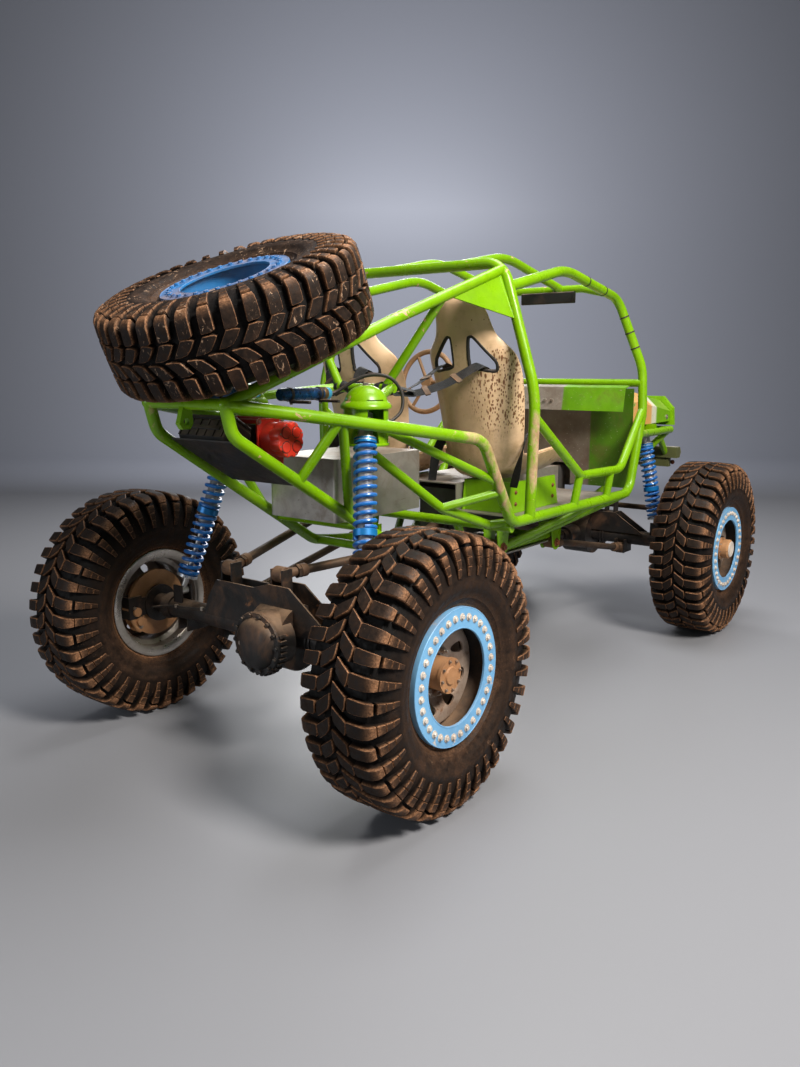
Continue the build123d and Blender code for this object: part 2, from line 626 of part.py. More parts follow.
# ---- steering ------------------------------------------------------------------------------------
for name, side in (("left_knuckle", 1), ("right_knuckle", -1)):
    with BuildPart() as knuckle:
        block(fx(-58), fx(58), side * 700, side * 716, axle_z - 126, axle_z + 126)
        for z0, z1 in ((axle_z + 100, axle_z + 126), (axle_z - 126, axle_z - 100)):
            rod(fx(0), side * kingpin_y, (z0 + z1) / 2, 40, z1 - z0, "Z")
            block(fx(-40), fx(40), side * kingpin_y, side * 702, z0, z1)
        rod(fx(0), side * 790, axle_z, 36, 150, "Y")
        # steering arm
        block(fx(0), fx(arm_x), side * (kingpin_y - 24), side * (kingpin_y + 24), axle_z + 126, axle_z + 148)
        rod(fx(arm_x), side * kingpin_y, axle_z + 137, 24, 22, "Z")
        # brake caliper round the disc
        block(fx(-166), fx(-50), side * 701, side * 713, 468, 548)
        block(fx(-166), fx(-98), side * 701, side * 762, 458, 558)
        block(fx(-156), fx(-90), side * 714, side * 750, 440, 570, mode=Mode.SUBTRACT)
        rod(fx(0), side * kingpin_y, axle_z, 15, 300, "Z", mode=Mode.SUBTRACT)
        rod(fx(arm_x), side * kingpin_y, axle_z + 137, 10.5, 60, "Z", mode=Mode.SUBTRACT)
    save(knuckle, name)

with BuildPart() as tie_rod:
    rod(fx(arm_x), 0, axle_z + 174, 17, 2 * kingpin_y, "Y")
    for side in (1, -1):
        rod(fx(arm_x), side * kingpin_y, axle_z + 174, 20, 40, "Z")
        rod(fx(arm_x), side * kingpin_y, axle_z + 150, 10, 52, "Z")
save(tie_rod, "tie_rod")
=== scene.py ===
import math
import random

import bpy
from mathutils import Matrix, Vector, noise as mnoise


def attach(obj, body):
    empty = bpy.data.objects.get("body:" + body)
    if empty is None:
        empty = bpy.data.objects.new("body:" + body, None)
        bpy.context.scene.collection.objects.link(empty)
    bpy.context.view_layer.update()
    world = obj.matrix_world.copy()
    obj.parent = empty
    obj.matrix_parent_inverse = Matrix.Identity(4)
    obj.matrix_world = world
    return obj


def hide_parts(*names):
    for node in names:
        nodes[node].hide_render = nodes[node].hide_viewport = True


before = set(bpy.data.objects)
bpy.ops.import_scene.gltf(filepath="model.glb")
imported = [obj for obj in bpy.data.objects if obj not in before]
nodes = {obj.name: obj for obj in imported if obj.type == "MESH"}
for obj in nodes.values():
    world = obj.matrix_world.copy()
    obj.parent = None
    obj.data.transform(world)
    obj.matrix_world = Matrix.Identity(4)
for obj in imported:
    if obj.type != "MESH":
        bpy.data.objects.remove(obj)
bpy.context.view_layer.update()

random.seed(11)

# ------------------------------------------------------------------ shared frame
RX = -1.3644          # the rear axle's x in the row frame
FX = 1.4746           # the front axle's x
TRACK = 0.812         # wheel centre from the middle
AXLE_Z = 0.508
TILT = math.radians(22.8)


def P(x, y, z):
    """A point given from the rear axle, in metres, put into the row frame."""
    return Vector((x + RX, y, z))


def look(origin, axis, up=(0, 0, 1)):
    """A matrix whose z runs along axis and whose x leans towards up."""
    z = Vector(axis).normalized()
    u = Vector(up)
    if abs(z.dot(u.normalized())) > 0.98:
        u = Vector((1, 0, 0))
    x = (u - z * u.dot(z)).normalized()
    y = z.cross(x)
    m = Matrix((x, y, z)).transposed().to_4x4()
    m.translation = Vector(origin)
    return m


# ------------------------------------------------------------------ mesh kit
class Shape:
    def __init__(self):
        self.v, self.f, self.m, self.s, self.a = [], [], [], [], []

    def add(self, verts, faces, mat=0, smooth=True, attr=None, mx=None):
        k = len(self.v)
        for p in verts:
            p = Vector(p)
            self.v.append(mx @ p if mx is not None else p)
        self.a += list(attr) if attr is not None else [0.0] * len(verts)
        for face in faces:
            self.f.append([k + i for i in face])
            self.m.append(mat)
            self.s.append(smooth)

    def grid(self, rows, mat=0, smooth=True, wrap_u=False, wrap_v=False, attr=None, mx=None):
        """Rows of points joined by quads."""
        nr, nc = len(rows), len(rows[0])
        faces = []
        for i in range(nr if wrap_u else nr - 1):
            for j in range(nc if wrap_v else nc - 1):
                a, b = i * nc + j, i * nc + (j + 1) % nc
                c, d = ((i + 1) % nr) * nc + (j + 1) % nc, ((i + 1) % nr) * nc + j
                faces.append((a, b, c, d))
        self.add([p for r in rows for p in r], faces, mat, smooth, attr, mx)

    def revolve(self, prof, mx=None, n=32, mat=0, smooth=True, loop=False):
        """prof: (along z, radius) points turned about z."""
        rows = []
        for h, r in prof:
            rows.append([(r * math.cos(2 * math.pi * j / n), r * math.sin(2 * math.pi * j / n), h) for j in range(n)])
        self.grid(rows, mat, smooth, wrap_u=loop, wrap_v=True, mx=mx)

    def disc(self, h, r, mx=None, n=32, mat=0, flip=False):
        pts = [(r * math.cos(2 * math.pi * j / n), r * math.sin(2 * math.pi * j / n), h) for j in range(n)]
        face = list(range(n))
        self.add(pts, [face[::-1] if flip else face], mat, True, None, mx)

    def turned(self, prof, mx=None, n=32, mat=0):
        """A closed turned piece: ends capped."""
        self.revolve(prof, mx, n, mat)
        self.disc(prof[0][0], prof[0][1], mx, n, mat, True)
        self.disc(prof[-1][0], prof[-1][1], mx, n, mat)

    def rod(self, a, b, r, n=20, mat=0, edge=0.0015):
        a, b = Vector(a), Vector(b)
        d = (b - a).length
        e = min(edge, r * 0.4, d * 0.3)
        self.turned([(0, r - e), (e, r), (d - e, r), (d, r - e)], look(a, b - a), n, mat)

    def tube(self, pts, r, n=14, mat=0, radii=None):
        """A round section carried along a line of points."""
        pts = [Vector(p) for p in pts]
        t = (pts[1] - pts[0]).normalized()
        x = t.orthogonal().normalized()
        rows = []
        for i, p in enumerate(pts):
            if i == 0:
                t = (pts[1] - pts[0]).normalized()
            elif i == len(pts) - 1:
                t = (pts[-1] - pts[-2]).normalized()
            else:
                t = (pts[i + 1] - pts[i - 1]).normalized()
            x = (x - t * x.dot(t)).normalized()
            y = t.cross(x)
            q = radii[i] if radii else r
            rows.append([p + (x * math.cos(2 * math.pi * j / n) + y * math.sin(2 * math.pi * j / n)) * q for j in range(n)])
        self.grid(rows, mat, True, wrap_v=True)
        k = len(rows[0])
        self.add(rows[0], [list(range(k))[::-1]], mat)
        self.add(rows[-1], [list(range(k))], mat)

    def slab(self, outline, t, mx=None, mat=0, bevel=0.0015):
        """A flat outline (local x, y) t thick along z, edges eased."""
        n = len(outline)
        cx = sum(p[0] for p in outline) / n
        cy = sum(p[1] for p in outline) / n

        def inset(p):
            d = math.hypot(p[0] - cx, p[1] - cy)
            k = max(0.0, 1 - bevel / d) if d > 1e-9 else 1
            return (cx + (p[0] - cx) * k, cy + (p[1] - cy) * k)
        rows = []
        for z, small in ((0, 1), (bevel, 0), (t - bevel, 0), (t, 1)):
            rows.append([(*(inset(p) if small else p), z) for p in outline])
        self.grid(rows, mat, True, wrap_v=True, mx=mx)
        self.add(rows[0], [list(range(n))[::-1]], mat, True, None, mx)
        self.add(rows[-1], [list(range(n))], mat, True, None, mx)

    def box(self, lo, hi, mat=0, bevel=0.003, mx=None):
        lo, hi = Vector(lo), Vector(hi)
        b = min(bevel, *(0.3 * abs(hi[i] - lo[i]) for i in range(3)))
        x0, y0, z0 = lo
        x1, y1, z1 = hi
        ring = [(x0 + b, y0), (x1 - b, y0), (x1, y0 + b), (x1, y1 - b), (x1 - b, y1), (x0 + b, y1), (x0, y1 - b), (x0, y0 + b)]
        inner = [(x0 + b, y0 + b), (x1 - b, y0 + b), (x1 - b, y0 + b), (x1 - b, y1 - b), (x1 - b, y1 - b), (x0 + b, y1 - b), (x0 + b, y1 - b), (x0 + b, y0 + b)]
        rows = [[(*p, z0) for p in inner], [(*p, z0 + b) for p in ring], [(*p, z1 - b) for p in ring], [(*p, z1) for p in inner]]
        self.grid(rows, mat, True, wrap_v=True, mx=mx)
        quad = [(x0 + b, y0 + b), (x1 - b, y0 + b), (x1 - b, y1 - b), (x0 + b, y1 - b)]
        self.add([(*p, z0) for p in quad], [(3, 2, 1, 0)], mat, True, None, mx)
        self.add([(*p, z1) for p in quad], [(0, 1, 2, 3)], mat, True, None, mx)

    def bolt(self, at, axis, r=0.008, h=0.007, mat=0, washer=True, turn=0.0, stud=0.0):
        """A hexagon head with a chamfer, on a washer."""
        mx = look(at, axis) @ Matrix.Rotation(turn, 4, "Z")
        z = 0.0
        if washer:
            self.turned([(0, r * 1.5), (r * 0.2, r * 1.5), (r * 0.25, r * 1.44)], mx, 16, mat)
            z = r * 0.25
        hexa = [(math.cos(math.pi / 3 * i), math.sin(math.pi / 3 * i)) for i in range(6)]
        rows = [[(x * r, y * r, z) for x, y in hexa], [(x * r, y * r, z + h * 0.82) for x, y in hexa],
                [(x * r * 0.86, y * r * 0.86, z + h) for x, y in hexa]]
        self.grid(rows, mat, False, wrap_v=True, mx=mx)
        self.add(rows[-1], [list(range(6))], mat, False, None, mx)
        if stud:
            self.turned([(z + h, r * 0.5), (z + h + stud * 0.85, r * 0.5), (z + h + stud, r * 0.4)], mx, 10, mat)

    def make(self, name, body, mats, replaces=(), slot=None, sharp=35, attr_name=None, matrix=None, data=None):
        if data is None:
            data = self.mesh(name, mats, sharp, attr_name)
        ob = bpy.data.objects.new(name, data)
        bpy.context.scene.collection.objects.link(ob)
        if matrix is not None:
            ob.matrix_world = matrix
        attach(ob, body)
        if replaces:
            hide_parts(*replaces)
        return ob

    def mesh(self, name, mats, sharp=35, attr_name=None):
        me = bpy.data.meshes.new(name)
        me.from_pydata([tuple(p) for p in self.v], [], self.f)
        for mt in mats:
            me.materials.append(mt)
        me.polygons.foreach_set("material_index", self.m)
        me.polygons.foreach_set("use_smooth", self.s)
        if sharp:
            me.set_sharp_from_angle(angle=math.radians(sharp))
        if attr_name:
            at = me.attributes.new(attr_name, "FLOAT", "POINT")
            at.data.foreach_set("value", self.a)
        me.update()
        return me


def arc3(a, b, c, n):
    """n + 1 points of the arc from a through b to c, in a plane."""
    (ax, ay), (bx, by), (cx, cy) = a, b, c
    d = 2 * (ax * (by - cy) + bx * (cy - ay) + cx * (ay - by))
    ux = ((ax * ax + ay * ay) * (by - cy) + (bx * bx + by * by) * (cy - ay) + (cx * cx + cy * cy) * (ay - by)) / d
    uy = ((ax * ax + ay * ay) * (cx - bx) + (bx * bx + by * by) * (ax - cx) + (cx * cx + cy * cy) * (bx - ax)) / d
    r = math.hypot(ax - ux, ay - uy)
    t0, t1, t2 = (math.atan2(y - uy, x - ux) for x, y in (a, b, c))

    def near(t, ref):
        while t - ref > math.pi:
            t -= 2 * math.pi
        while t - ref < -math.pi:
            t += 2 * math.pi
        return t
    t1 = near(t1, t0)
    t2 = near(t2, t1)
    return [(ux + r * math.cos(t0 + (t2 - t0) * i / n), uy + r * math.sin(t0 + (t2 - t0) * i / n)) for i in range(n + 1)]


def lerp_table(table, x):
    """Value at x in rising (x, value) rows."""
    if x <= table[0][0]:
        return table[0][1]
    for (x0, y0), (x1, y1) in zip(table, table[1:]):
        if x <= x1:
            return y0 + (y1 - y0) * (x - x0) / (x1 - x0)
    return table[-1][1]


# ------------------------------------------------------------------ material kit
def lin(r, g, b):
    def one(c):
        c /= 255
        return c / 12.92 if c <= 0.04045 else ((c + 0.055) / 1.055) ** 2.4
    return (one(r), one(g), one(b), 1.0)


class Mat:
    def __init__(self, name):
        self.m = bpy.data.materials.new(name)
        self.m.use_nodes = True
        self.nt = self.m.node_tree
        self.b = self.nt.nodes["Principled BSDF"]
        tc = self.nt.nodes.new("ShaderNodeTexCoord")
        self.co = tc.outputs["Object"]

    def link(self, a, b):
        self.nt.links.new(a, b)

    def put(self, sock, v):
        if hasattr(v, "links"):
            self.link(v, sock)
        else:
            sock.default_value = v

    def set(self, **kw):
        for k, v in kw.items():
            self.put(self.b.inputs[k.replace("_", " ")], v)

    def scaled(self, x, y, z, rot=(0, 0, 0)):
        n = self.nt.nodes.new("ShaderNodeMapping")
        n.inputs["Scale"].default_value = (x, y, z)
        n.inputs["Rotation"].default_value = rot
        self.link(self.co, n.inputs["Vector"])
        return n.outputs[0]

    def noise(self, scale, detail=5.0, rough=0.55, distort=0.0, co=None):
        n = self.nt.nodes.new("ShaderNodeTexNoise")
        n.inputs["Scale"].default_value = scale
        n.inputs["Detail"].default_value = detail
        n.inputs["Roughness"].default_value = rough
        n.inputs["Distortion"].default_value = distort
        self.link(co or self.co, n.inputs["Vector"])
        return n.outputs[0]

    def cells(self, scale, co=None, feature="F1", rand=1.0):
        n = self.nt.nodes.new("ShaderNodeTexVoronoi")
        n.feature = feature
        n.inputs["Scale"].default_value = scale
        n.inputs["Randomness"].default_value = rand
        self.link(co or self.co, n.inputs["Vector"])
        return n.outputs[0]

    def ramp(self, v, lo, hi, a=0.0, b=1.0):
        n = self.nt.nodes.new("ShaderNodeMapRange")
        n.interpolation_type = "SMOOTHSTEP"
        for i, q in enumerate((v, lo, hi, a, b)):
            self.put(n.inputs[i], q)
        return n.outputs[0]

    def calc(self, op, a, b=0.0):
        n = self.nt.nodes.new("ShaderNodeMath")
        n.operation = op
        n.use_clamp = op in ("ADD", "SUBTRACT")
        self.put(n.inputs[0], a)
        self.put(n.inputs[1], b)
        return n.outputs[0]

    def mix(self, f, a, b, mode="MIX"):
        n = self.nt.nodes.new("ShaderNodeMix")
        n.data_type = "RGBA"
        n.blend_type = mode
        self.put(n.inputs[0], f)
        self.put(n.inputs[6], a)
        self.put(n.inputs[7], b)
        return n.outputs[2]

    def bump(self, h, strength=0.3, dist=0.002, over=None):
        n = self.nt.nodes.new("ShaderNodeBump")
        n.inputs["Strength"].default_value = strength
        n.inputs["Distance"].default_value = dist
        self.link(h, n.inputs["Height"])
        if over is not None:
            self.link(over, n.inputs["Normal"])
        return n.outputs[0]

    def xyz(self, v=None):
        n = self.nt.nodes.new("ShaderNodeSeparateXYZ")
        self.link(v or self.co, n.inputs[0])
        return n.outputs

    def up(self, lo=0.15, hi=0.95):
        g = self.nt.nodes.new("ShaderNodeNewGeometry")
        return self.ramp(self.xyz(g.outputs["Normal"])[2], lo, hi)

    def attr(self, name):
        n = self.nt.nodes.new("ShaderNodeAttribute")
        n.attribute_name = name
        return n.outputs["Fac"]


DUST = lin(176, 143, 112)
DIRT = lin(104, 74, 52)


def worn(name, base, shade=None, wear=None, wear_at=(0.62, 0.70), wear_scale=9.0, dust_and_painted_light=0.25, dust_and_highlight_col=None,
         rough=(0.3, 0.5), metal=0.0, coat=0.0, peel=(180.0, 0.06), pits=None, mottle=0.5, scratch=0.0, grime=0.0, ior=1.5, zone=None):
    """A painted or metal finish: tone drift, chipped patches, scratches, grime, and a dusty colour on what faces up,
    which on the bumper is a whitish painted highlight.
    """
    k = Mat(name)
    col = base
    drift = k.noise(2.3, 4)
    if shade:
        col = k.mix(k.calc("MULTIPLY", k.ramp(drift, 0.35, 0.7), mottle), base, shade)
        col = k.mix(k.calc("MULTIPLY", k.ramp(k.noise(24, 6, 0.6), 0.45, 0.75), mottle * 0.6), col, shade)
    rgh = k.ramp(k.noise(13, 6, 0.6), 0.3, 0.75, rough[0], rough[1])
    height = k.noise(peel[0], 2)
    normal = k.bump(height, peel[1], 0.001)
    if scratch:
        lines = k.noise(60, 3, 0.6, 0.3, k.scaled(0.25, 1.0, 2.2, (0.3, 0.5, 0.2)))
        mark = k.calc("MULTIPLY", k.ramp(lines, 0.66, 0.72), k.ramp(k.noise(3.1, 3), 0.5, 0.62))
        col = k.mix(k.calc("MULTIPLY", mark, scratch), col, wear or DUST)
    if wear:
        patch = k.calc("MULTIPLY", k.ramp(k.noise(wear_scale, 9, 0.68, 0.4), *wear_at), k.ramp(k.noise(1.7, 3), 0.38, 0.56))
        col = k.mix(patch, col, wear)
        rgh = k.calc("ADD", rgh, k.calc("MULTIPLY", patch, 0.25))
        normal = k.bump(k.calc("SUBTRACT", 1.0, patch), 0.25, 0.0015, normal)
    if zone:
        # rubbed through to the primer where the zone says so
        z = zone(k)
        g = k.nt.nodes.new("ShaderNodeNewGeometry")
        face = k.ramp(k.xyz(g.outputs["Normal"])[1], 0.55, -0.65)
        z = k.calc("MULTIPLY", z, k.calc("ADD", 0.35, k.calc("MULTIPLY", face, 0.65)))
        rub = k.ramp(k.calc("ADD", k.calc("MULTIPLY", z, 0.34), k.calc("MULTIPLY", k.noise(15, 9, 0.74, 0.6, k.scaled(1, 1, 0.55)), 0.72)), 0.58, 0.76)
        rub = k.calc("MULTIPLY", rub, k.ramp(z, 0.02, 0.3))
        col = k.mix(k.calc("MULTIPLY", rub, 0.92), col, k.mix(k.ramp(k.noise(30, 6, 0.6), 0.35, 0.7), lin(206, 166, 138), lin(168, 128, 98)))
        rgh = k.calc("ADD", rgh, k.calc("MULTIPLY", rub, 0.3))
        normal = k.bump(k.calc("SUBTRACT", 1.0, rub), 0.3, 0.0012, normal)
    if pits:
        normal = k.bump(k.noise(pits[0], 8, 0.7), pits[1], 0.003, normal)
    if grime:
        g = k.calc("MULTIPLY", k.ramp(k.noise(5.5, 8, 0.7, 0.6), 0.48, 0.74), grime)
        col = k.mix(g, col, DIRT)
        rgh = k.calc("ADD", rgh, k.calc("MULTIPLY", g, 0.3))
    # up-facing faces take a dusty colour; on the bumper this mix is a whitish painted highlight on the tops
    if dust_and_painted_light:
        d = k.calc("MULTIPLY", k.calc("MULTIPLY", k.up(), k.ramp(k.noise(7, 7, 0.65), 0.3, 0.75)), dust_and_painted_light)
        col = k.mix(d, col, dust_and_highlight_col or DUST)
        rgh = k.calc("ADD", rgh, k.calc("MULTIPLY", d, 0.35))
    k.set(Base_Color=col, Roughness=rgh, Metallic=metal, IOR=ior)
    k.b.inputs["Coat Weight"].default_value = coat
    k.b.inputs["Coat Roughness"].default_value = 0.12
    k.link(normal, k.b.inputs["Normal"])
    return k.m


LIME = lin(122, 172, 0)
LIME_LOW = lin(88, 136, 0)
PRIMER = lin(206, 160, 132)

lime = worn("lime_paint", LIME, LIME_LOW, PRIMER, (0.64, 0.67), 11.0, 0.06, rough=(0.24, 0.38), coat=0.10, ior=1.42, scratch=0.5, grime=0.1, peel=(260, 0.04))


def hoop_zone(k):
    x, y, z = k.xyz()
    return k.calc("MULTIPLY", k.ramp(y, -0.30, -0.50), k.calc("MULTIPLY", k.ramp(z, 1.72, 1.30), k.ramp(z, 0.9, 1.1)))


def rail_zone(k):
    x, y, z = k.xyz()
    bend = k.calc("MULTIPLY", k.ramp(x, RX + 0.40, RX + 0.62), k.ramp(x, RX + 1.05, RX + 0.86))
    return k.calc("MULTIPLY", k.ramp(y, -0.30, -0.48), k.calc("MULTIPLY", bend, k.ramp(z, 0.86, 1.0)))


lime_hoop = worn("lime_hoop", LIME, LIME_LOW, PRIMER, (0.64, 0.67), 11.0, 0.06, rough=(0.24, 0.38), coat=0.10, ior=1.42, scratch=0.5, grime=0.1, peel=(260, 0.04), zone=hoop_zone)
lime_rail = worn("lime_rail", LIME, LIME_LOW, PRIMER, (0.64, 0.67), 11.0, 0.06, rough=(0.24, 0.38), coat=0.10, ior=1.42, scratch=0.5, grime=0.1, peel=(260, 0.04), zone=rail_zone)
lime_panel = worn("lime_panel", lin(126, 178, 0), lin(96, 146, 0), PRIMER, (0.66, 0.70), 8.0, 0.14, rough=(0.32, 0.5), coat=0.08, scratch=0.5, grime=0.12)
bare = worn("bare_alloy", lin(172, 166, 158), lin(138, 131, 124), lin(120, 82, 56), (0.68, 0.74), 12, 0.35, rough=(0.36, 0.6), metal=0.65, scratch=0.6, grime=0.35)
black = worn("black_paint", lin(26, 25, 24), lin(44, 39, 35), lin(112, 74, 50), (0.64, 0.72), 16, 0.45, rough=(0.42, 0.7), grime=0.35, scratch=0.4, pits=(90, 0.12))
plastic = worn("black_plastic", lin(20, 20, 21), lin(34, 32, 31), None, dust_and_painted_light=0.35, rough=(0.4, 0.62), grime=0.22, pits=(420, 0.08))
axle_mat = worn("axle_paint", lin(24, 22, 21), lin(46, 36, 30), lin(132, 88, 56), (0.60, 0.70), 11, 0.6, rough=(0.34, 0.7), metal=0.1, grime=0.7, pits=(70, 0.25), scratch=0.3)
hub_tan = worn("hub_tan", lin(196, 146, 100), lin(150, 104, 68), lin(104, 68, 44), (0.60, 0.72), 18, 0.3, rough=(0.5, 0.8), metal=0.1, grime=0.35, pits=(90, 0.2), mottle=0.8)
rust = worn("rusty_iron", lin(146, 84, 50), lin(94, 52, 32), lin(70, 44, 32), (0.55, 0.7), 22, 0.35, rough=(0.62, 0.9), metal=0.15, grime=0.5, pits=(110, 0.35), mottle=0.9)
link_brown = worn("link_brown", lin(112, 84, 62), lin(70, 52, 40), lin(40, 34, 30), (0.55, 0.68), 16, 0.4, rough=(0.5, 0.8), metal=0.25, grime=0.5, pits=(100, 0.2), mottle=0.9)
steel = worn("link_steel", lin(70, 60, 52), lin(104, 78, 58), lin(132, 86, 56), (0.56, 0.68), 14, 0.55, rough=(0.42, 0.72), metal=0.55, grime=0.6, pits=(100, 0.14), scratch=0.4)
zinc = worn("zinc_bolt", lin(186, 180, 172), lin(150, 122, 98), lin(138, 84, 54), (0.55, 0.64), 46, 0.3, rough=(0.3, 0.55), metal=0.85, grime=0.3, mottle=0.8)
chrome = worn("damper_shaft", lin(206, 206, 206), lin(170, 168, 166), None, dust_and_painted_light=0.12, rough=(0.12, 0.28), metal=1.0)
damper = worn("damper_alloy", lin(196, 195, 192), lin(164, 160, 154), lin(120, 96, 76), (0.68, 0.74), 22, 0.3, rough=(0.3, 0.5), metal=0.7, grime=0.25)
spring_blue = worn("spring_blue", lin(10, 108, 186), lin(4, 78, 152), lin(150, 140, 132), (0.68, 0.72), 38, 0.3, rough=(0.22, 0.42), coat=0.3, grime=0.22)
collar_blue = worn("collar_blue", lin(16, 122, 190), lin(8, 88, 156), lin(168, 160, 150), (0.66, 0.7), 32, 0.25, rough=(0.25, 0.45), metal=0.35, grime=0.2)
ring_blue = worn("ring_blue", lin(122, 180, 222), lin(92, 156, 208), lin(200, 190, 182), (0.60, 0.66), 20, 0.3, rough=(0.36, 0.58), metal=0.05, grime=0.2, scratch=0.8)
ring_deep = worn("ring_deep", lin(36, 112, 172), lin(22, 78, 134), lin(120, 104, 90), (0.58, 0.66), 16, 0.5, rough=(0.4, 0.62), grime=0.55, scratch=0.6)
rim_silver = worn("rim_silver", lin(196, 190, 182), lin(150, 138, 124), lin(112, 74, 48), (0.60, 0.70), 9, 0.4, rough=(0.22, 0.45), metal=0.85, grime=0.6, scratch=0.5)
# the outboard barrel well's dark colour is painted shade behind the clamp ring, with real grime on it
rim_painted_shade = worn("rim_barrel_painted_shade", lin(44, 42, 41), lin(62, 54, 48), lin(110, 78, 56), (0.6, 0.7), 15, 0.5, rough=(0.5, 0.78), metal=0.3, grime=0.6)
rim_steel = worn("rim_centre", lin(178, 162, 148), lin(138, 112, 92), lin(124, 84, 56), (0.60, 0.72), 10, 0.35, rough=(0.46, 0.72), metal=0.45, grime=0.6, pits=(80, 0.16), scratch=0.4)
red = worn("winch_red", lin(218, 52, 34), lin(186, 34, 24), lin(60, 40, 36), (0.66, 0.72), 20, 0.25, rough=(0.32, 0.52), coat=0.1, grime=0.22)
cast = worn("cast_metal", lin(92, 90, 88), lin(66, 60, 54), lin(110, 78, 56), (0.62, 0.72), 14, 0.5, rough=(0.5, 0.75), metal=0.5, grime=0.5, pits=(140, 0.22))
# bumper: the whitish colour on its up-facing faces is a painted highlight
bumper_with_highlight_mat = worn("bumper_paint", lin(92, 96, 54), lin(70, 72, 42), lin(150, 140, 128), (0.58, 0.66), 12, 0.9, lin(214, 206, 196), rough=(0.45, 0.7), grime=0.4, scratch=0.6, mottle=0.8)
pale_metal = worn("pale_metal", lin(222, 212, 200), lin(190, 172, 154), lin(140, 96, 66), (0.64, 0.72), 24, 0.2, rough=(0.4, 0.6), metal=0.2, grime=0.25)
rubber = worn("hose_rubber", lin(24, 23, 22), lin(40, 36, 32), None, dust_and_painted_light=0.4, rough=(0.5, 0.72), grime=0.25)


def tyre_material(name, spare):
    k = Mat(name)
    # the per-vertex attribute: above zero a dusty tan, below zero painted shade in the grooves and at the block bases
    edge = k.attr("dust_and_painted_light")
    n1 = k.noise(9, 8, 0.68)
    n2 = k.noise(42, 7, 0.65)
    n3 = k.noise(150, 5, 0.6)
    col = k.mix(k.ramp(n2, 0.3, 0.75), lin(19, 12, 8), lin(41, 28, 19))
    col = k.mix(k.calc("MULTIPLY", k.ramp(n1, 0.5, 0.75), 0.5), col, lin(76, 52, 36))
    # raised attribute values go tan: dusty rubber, and on the lug edges also a painted highlight
    f = k.calc("MULTIPLY", k.ramp(edge, 0.0, 1.0), k.ramp(n1, 0.22, 0.72, 0.45, 1.0))
    f = k.calc("MULTIPLY", f, k.ramp(n2, 0.25, 0.7, 0.5, 1.0))
    col = k.mix(k.calc("MULTIPLY", f, 0.95), col, k.mix(k.ramp(n3, 0.35, 0.7), lin(132, 92, 64), lin(212, 155, 112)))
    # painted shade: groove floors and block bases go near black
    col = k.mix(k.ramp(edge, -0.05, -0.8), col, lin(8, 5, 4))
    if spare:
        # dry mud flakes and torn edges
        torn = k.calc("MULTIPLY", k.ramp(k.noise(44, 7, 0.72, 1.2, k.scaled(1, 0.55, 1)), 0.58, 0.63), k.ramp(k.noise(7, 4), 0.40, 0.56))
        torn = k.calc("MULTIPLY", torn, k.ramp(edge, -0.5, 0.0))
        col = k.mix(k.calc("MULTIPLY", torn, 0.85), col, k.mix(n3, lin(150, 116, 90), lin(206, 172, 142)))
    else:
        torn = k.calc("MULTIPLY", k.ramp(k.noise(70, 6, 0.7, 0.8), 0.62, 0.70), k.ramp(n1, 0.46, 0.62))
        col = k.mix(k.calc("MULTIPLY", torn, 0.55), col, lin(150, 118, 92))
    rgh = k.ramp(n2, 0.3, 0.7, 0.48, 0.82)
    nm = k.bump(n3, 0.35, 0.0012)
    nm = k.bump(n2, 0.35, 0.004, nm)
    k.set(Base_Color=col, Roughness=rgh, IOR=1.3)
    k.link(nm, k.b.inputs["Normal"])
    return k.m


tyre_mat = tyre_material("tyre_rubber", False)
spare_mat = tyre_material("spare_rubber", True)

# ------------------------------------------------------------------ tyre
PITCHES = 40
R0 = 0.508
OUTER = (arc3((0, 0.508), (0.059, 0.50701), (0.118, 0.504), 10)
         + arc3((0.118, 0.504), (0.141, 0.494), (0.153, 0.474), 8)[1:]
         + arc3((0.153, 0.474), (0.168, 0.366), (0.110, 0.246), 22)[1:])
LEN = [0.0]
for (a0, b0), (a1, b1) in zip(OUTER, OUTER[1:]):
    LEN.append(LEN[-1] + math.hypot(a1 - a0, b1 - b0))
DEPTH = ((0.0, 0.022), (0.06, 0.026), (0.115, 0.031), (0.160, 0.031), (0.190, 0.024), (0.235, 0.015), (0.275, 0.0085), (0.300, 0.0))


def skin(u):
    """Point and outward normal of the tyre's outline, u metres round from the middle of the tread."""
    sign = 1 if u >= 0 else -1
    u = min(abs(u), LEN[-1])
    i = 0
    while i < len(LEN) - 2 and LEN[i + 1] < u:
        i += 1
    t = (u - LEN[i]) / (LEN[i + 1] - LEN[i])
    (s0, r0), (s1, r1) = OUTER[i], OUTER[i + 1]
    d = math.hypot(s1 - s0, r1 - r0)
    return (s0 + (s1 - s0) * t) * sign, r0 + (r1 - r0) * t, -(r1 - r0) / d * sign, (s1 - s0) / d


def tread_point(u, t, h):
    """u across, t round (in pitches), h from the groove floor (0) to the block top (1)."""
    s, r, ns, nr = skin(u)
    k = lerp_table(DEPTH, abs(u)) * (1 - h)
    a = t * 2 * math.pi / PITCHES
    s, r = s - ns * k, r - nr * k
    return (r * math.sin(a), s, r * math.cos(a))


TOP_DUST = ((0.0, 0.0), (0.118, 0.02), (0.142, 0.30), (0.166, 0.90), (0.186, 0.45), (0.20, 0.16), (0.30, 0.22))


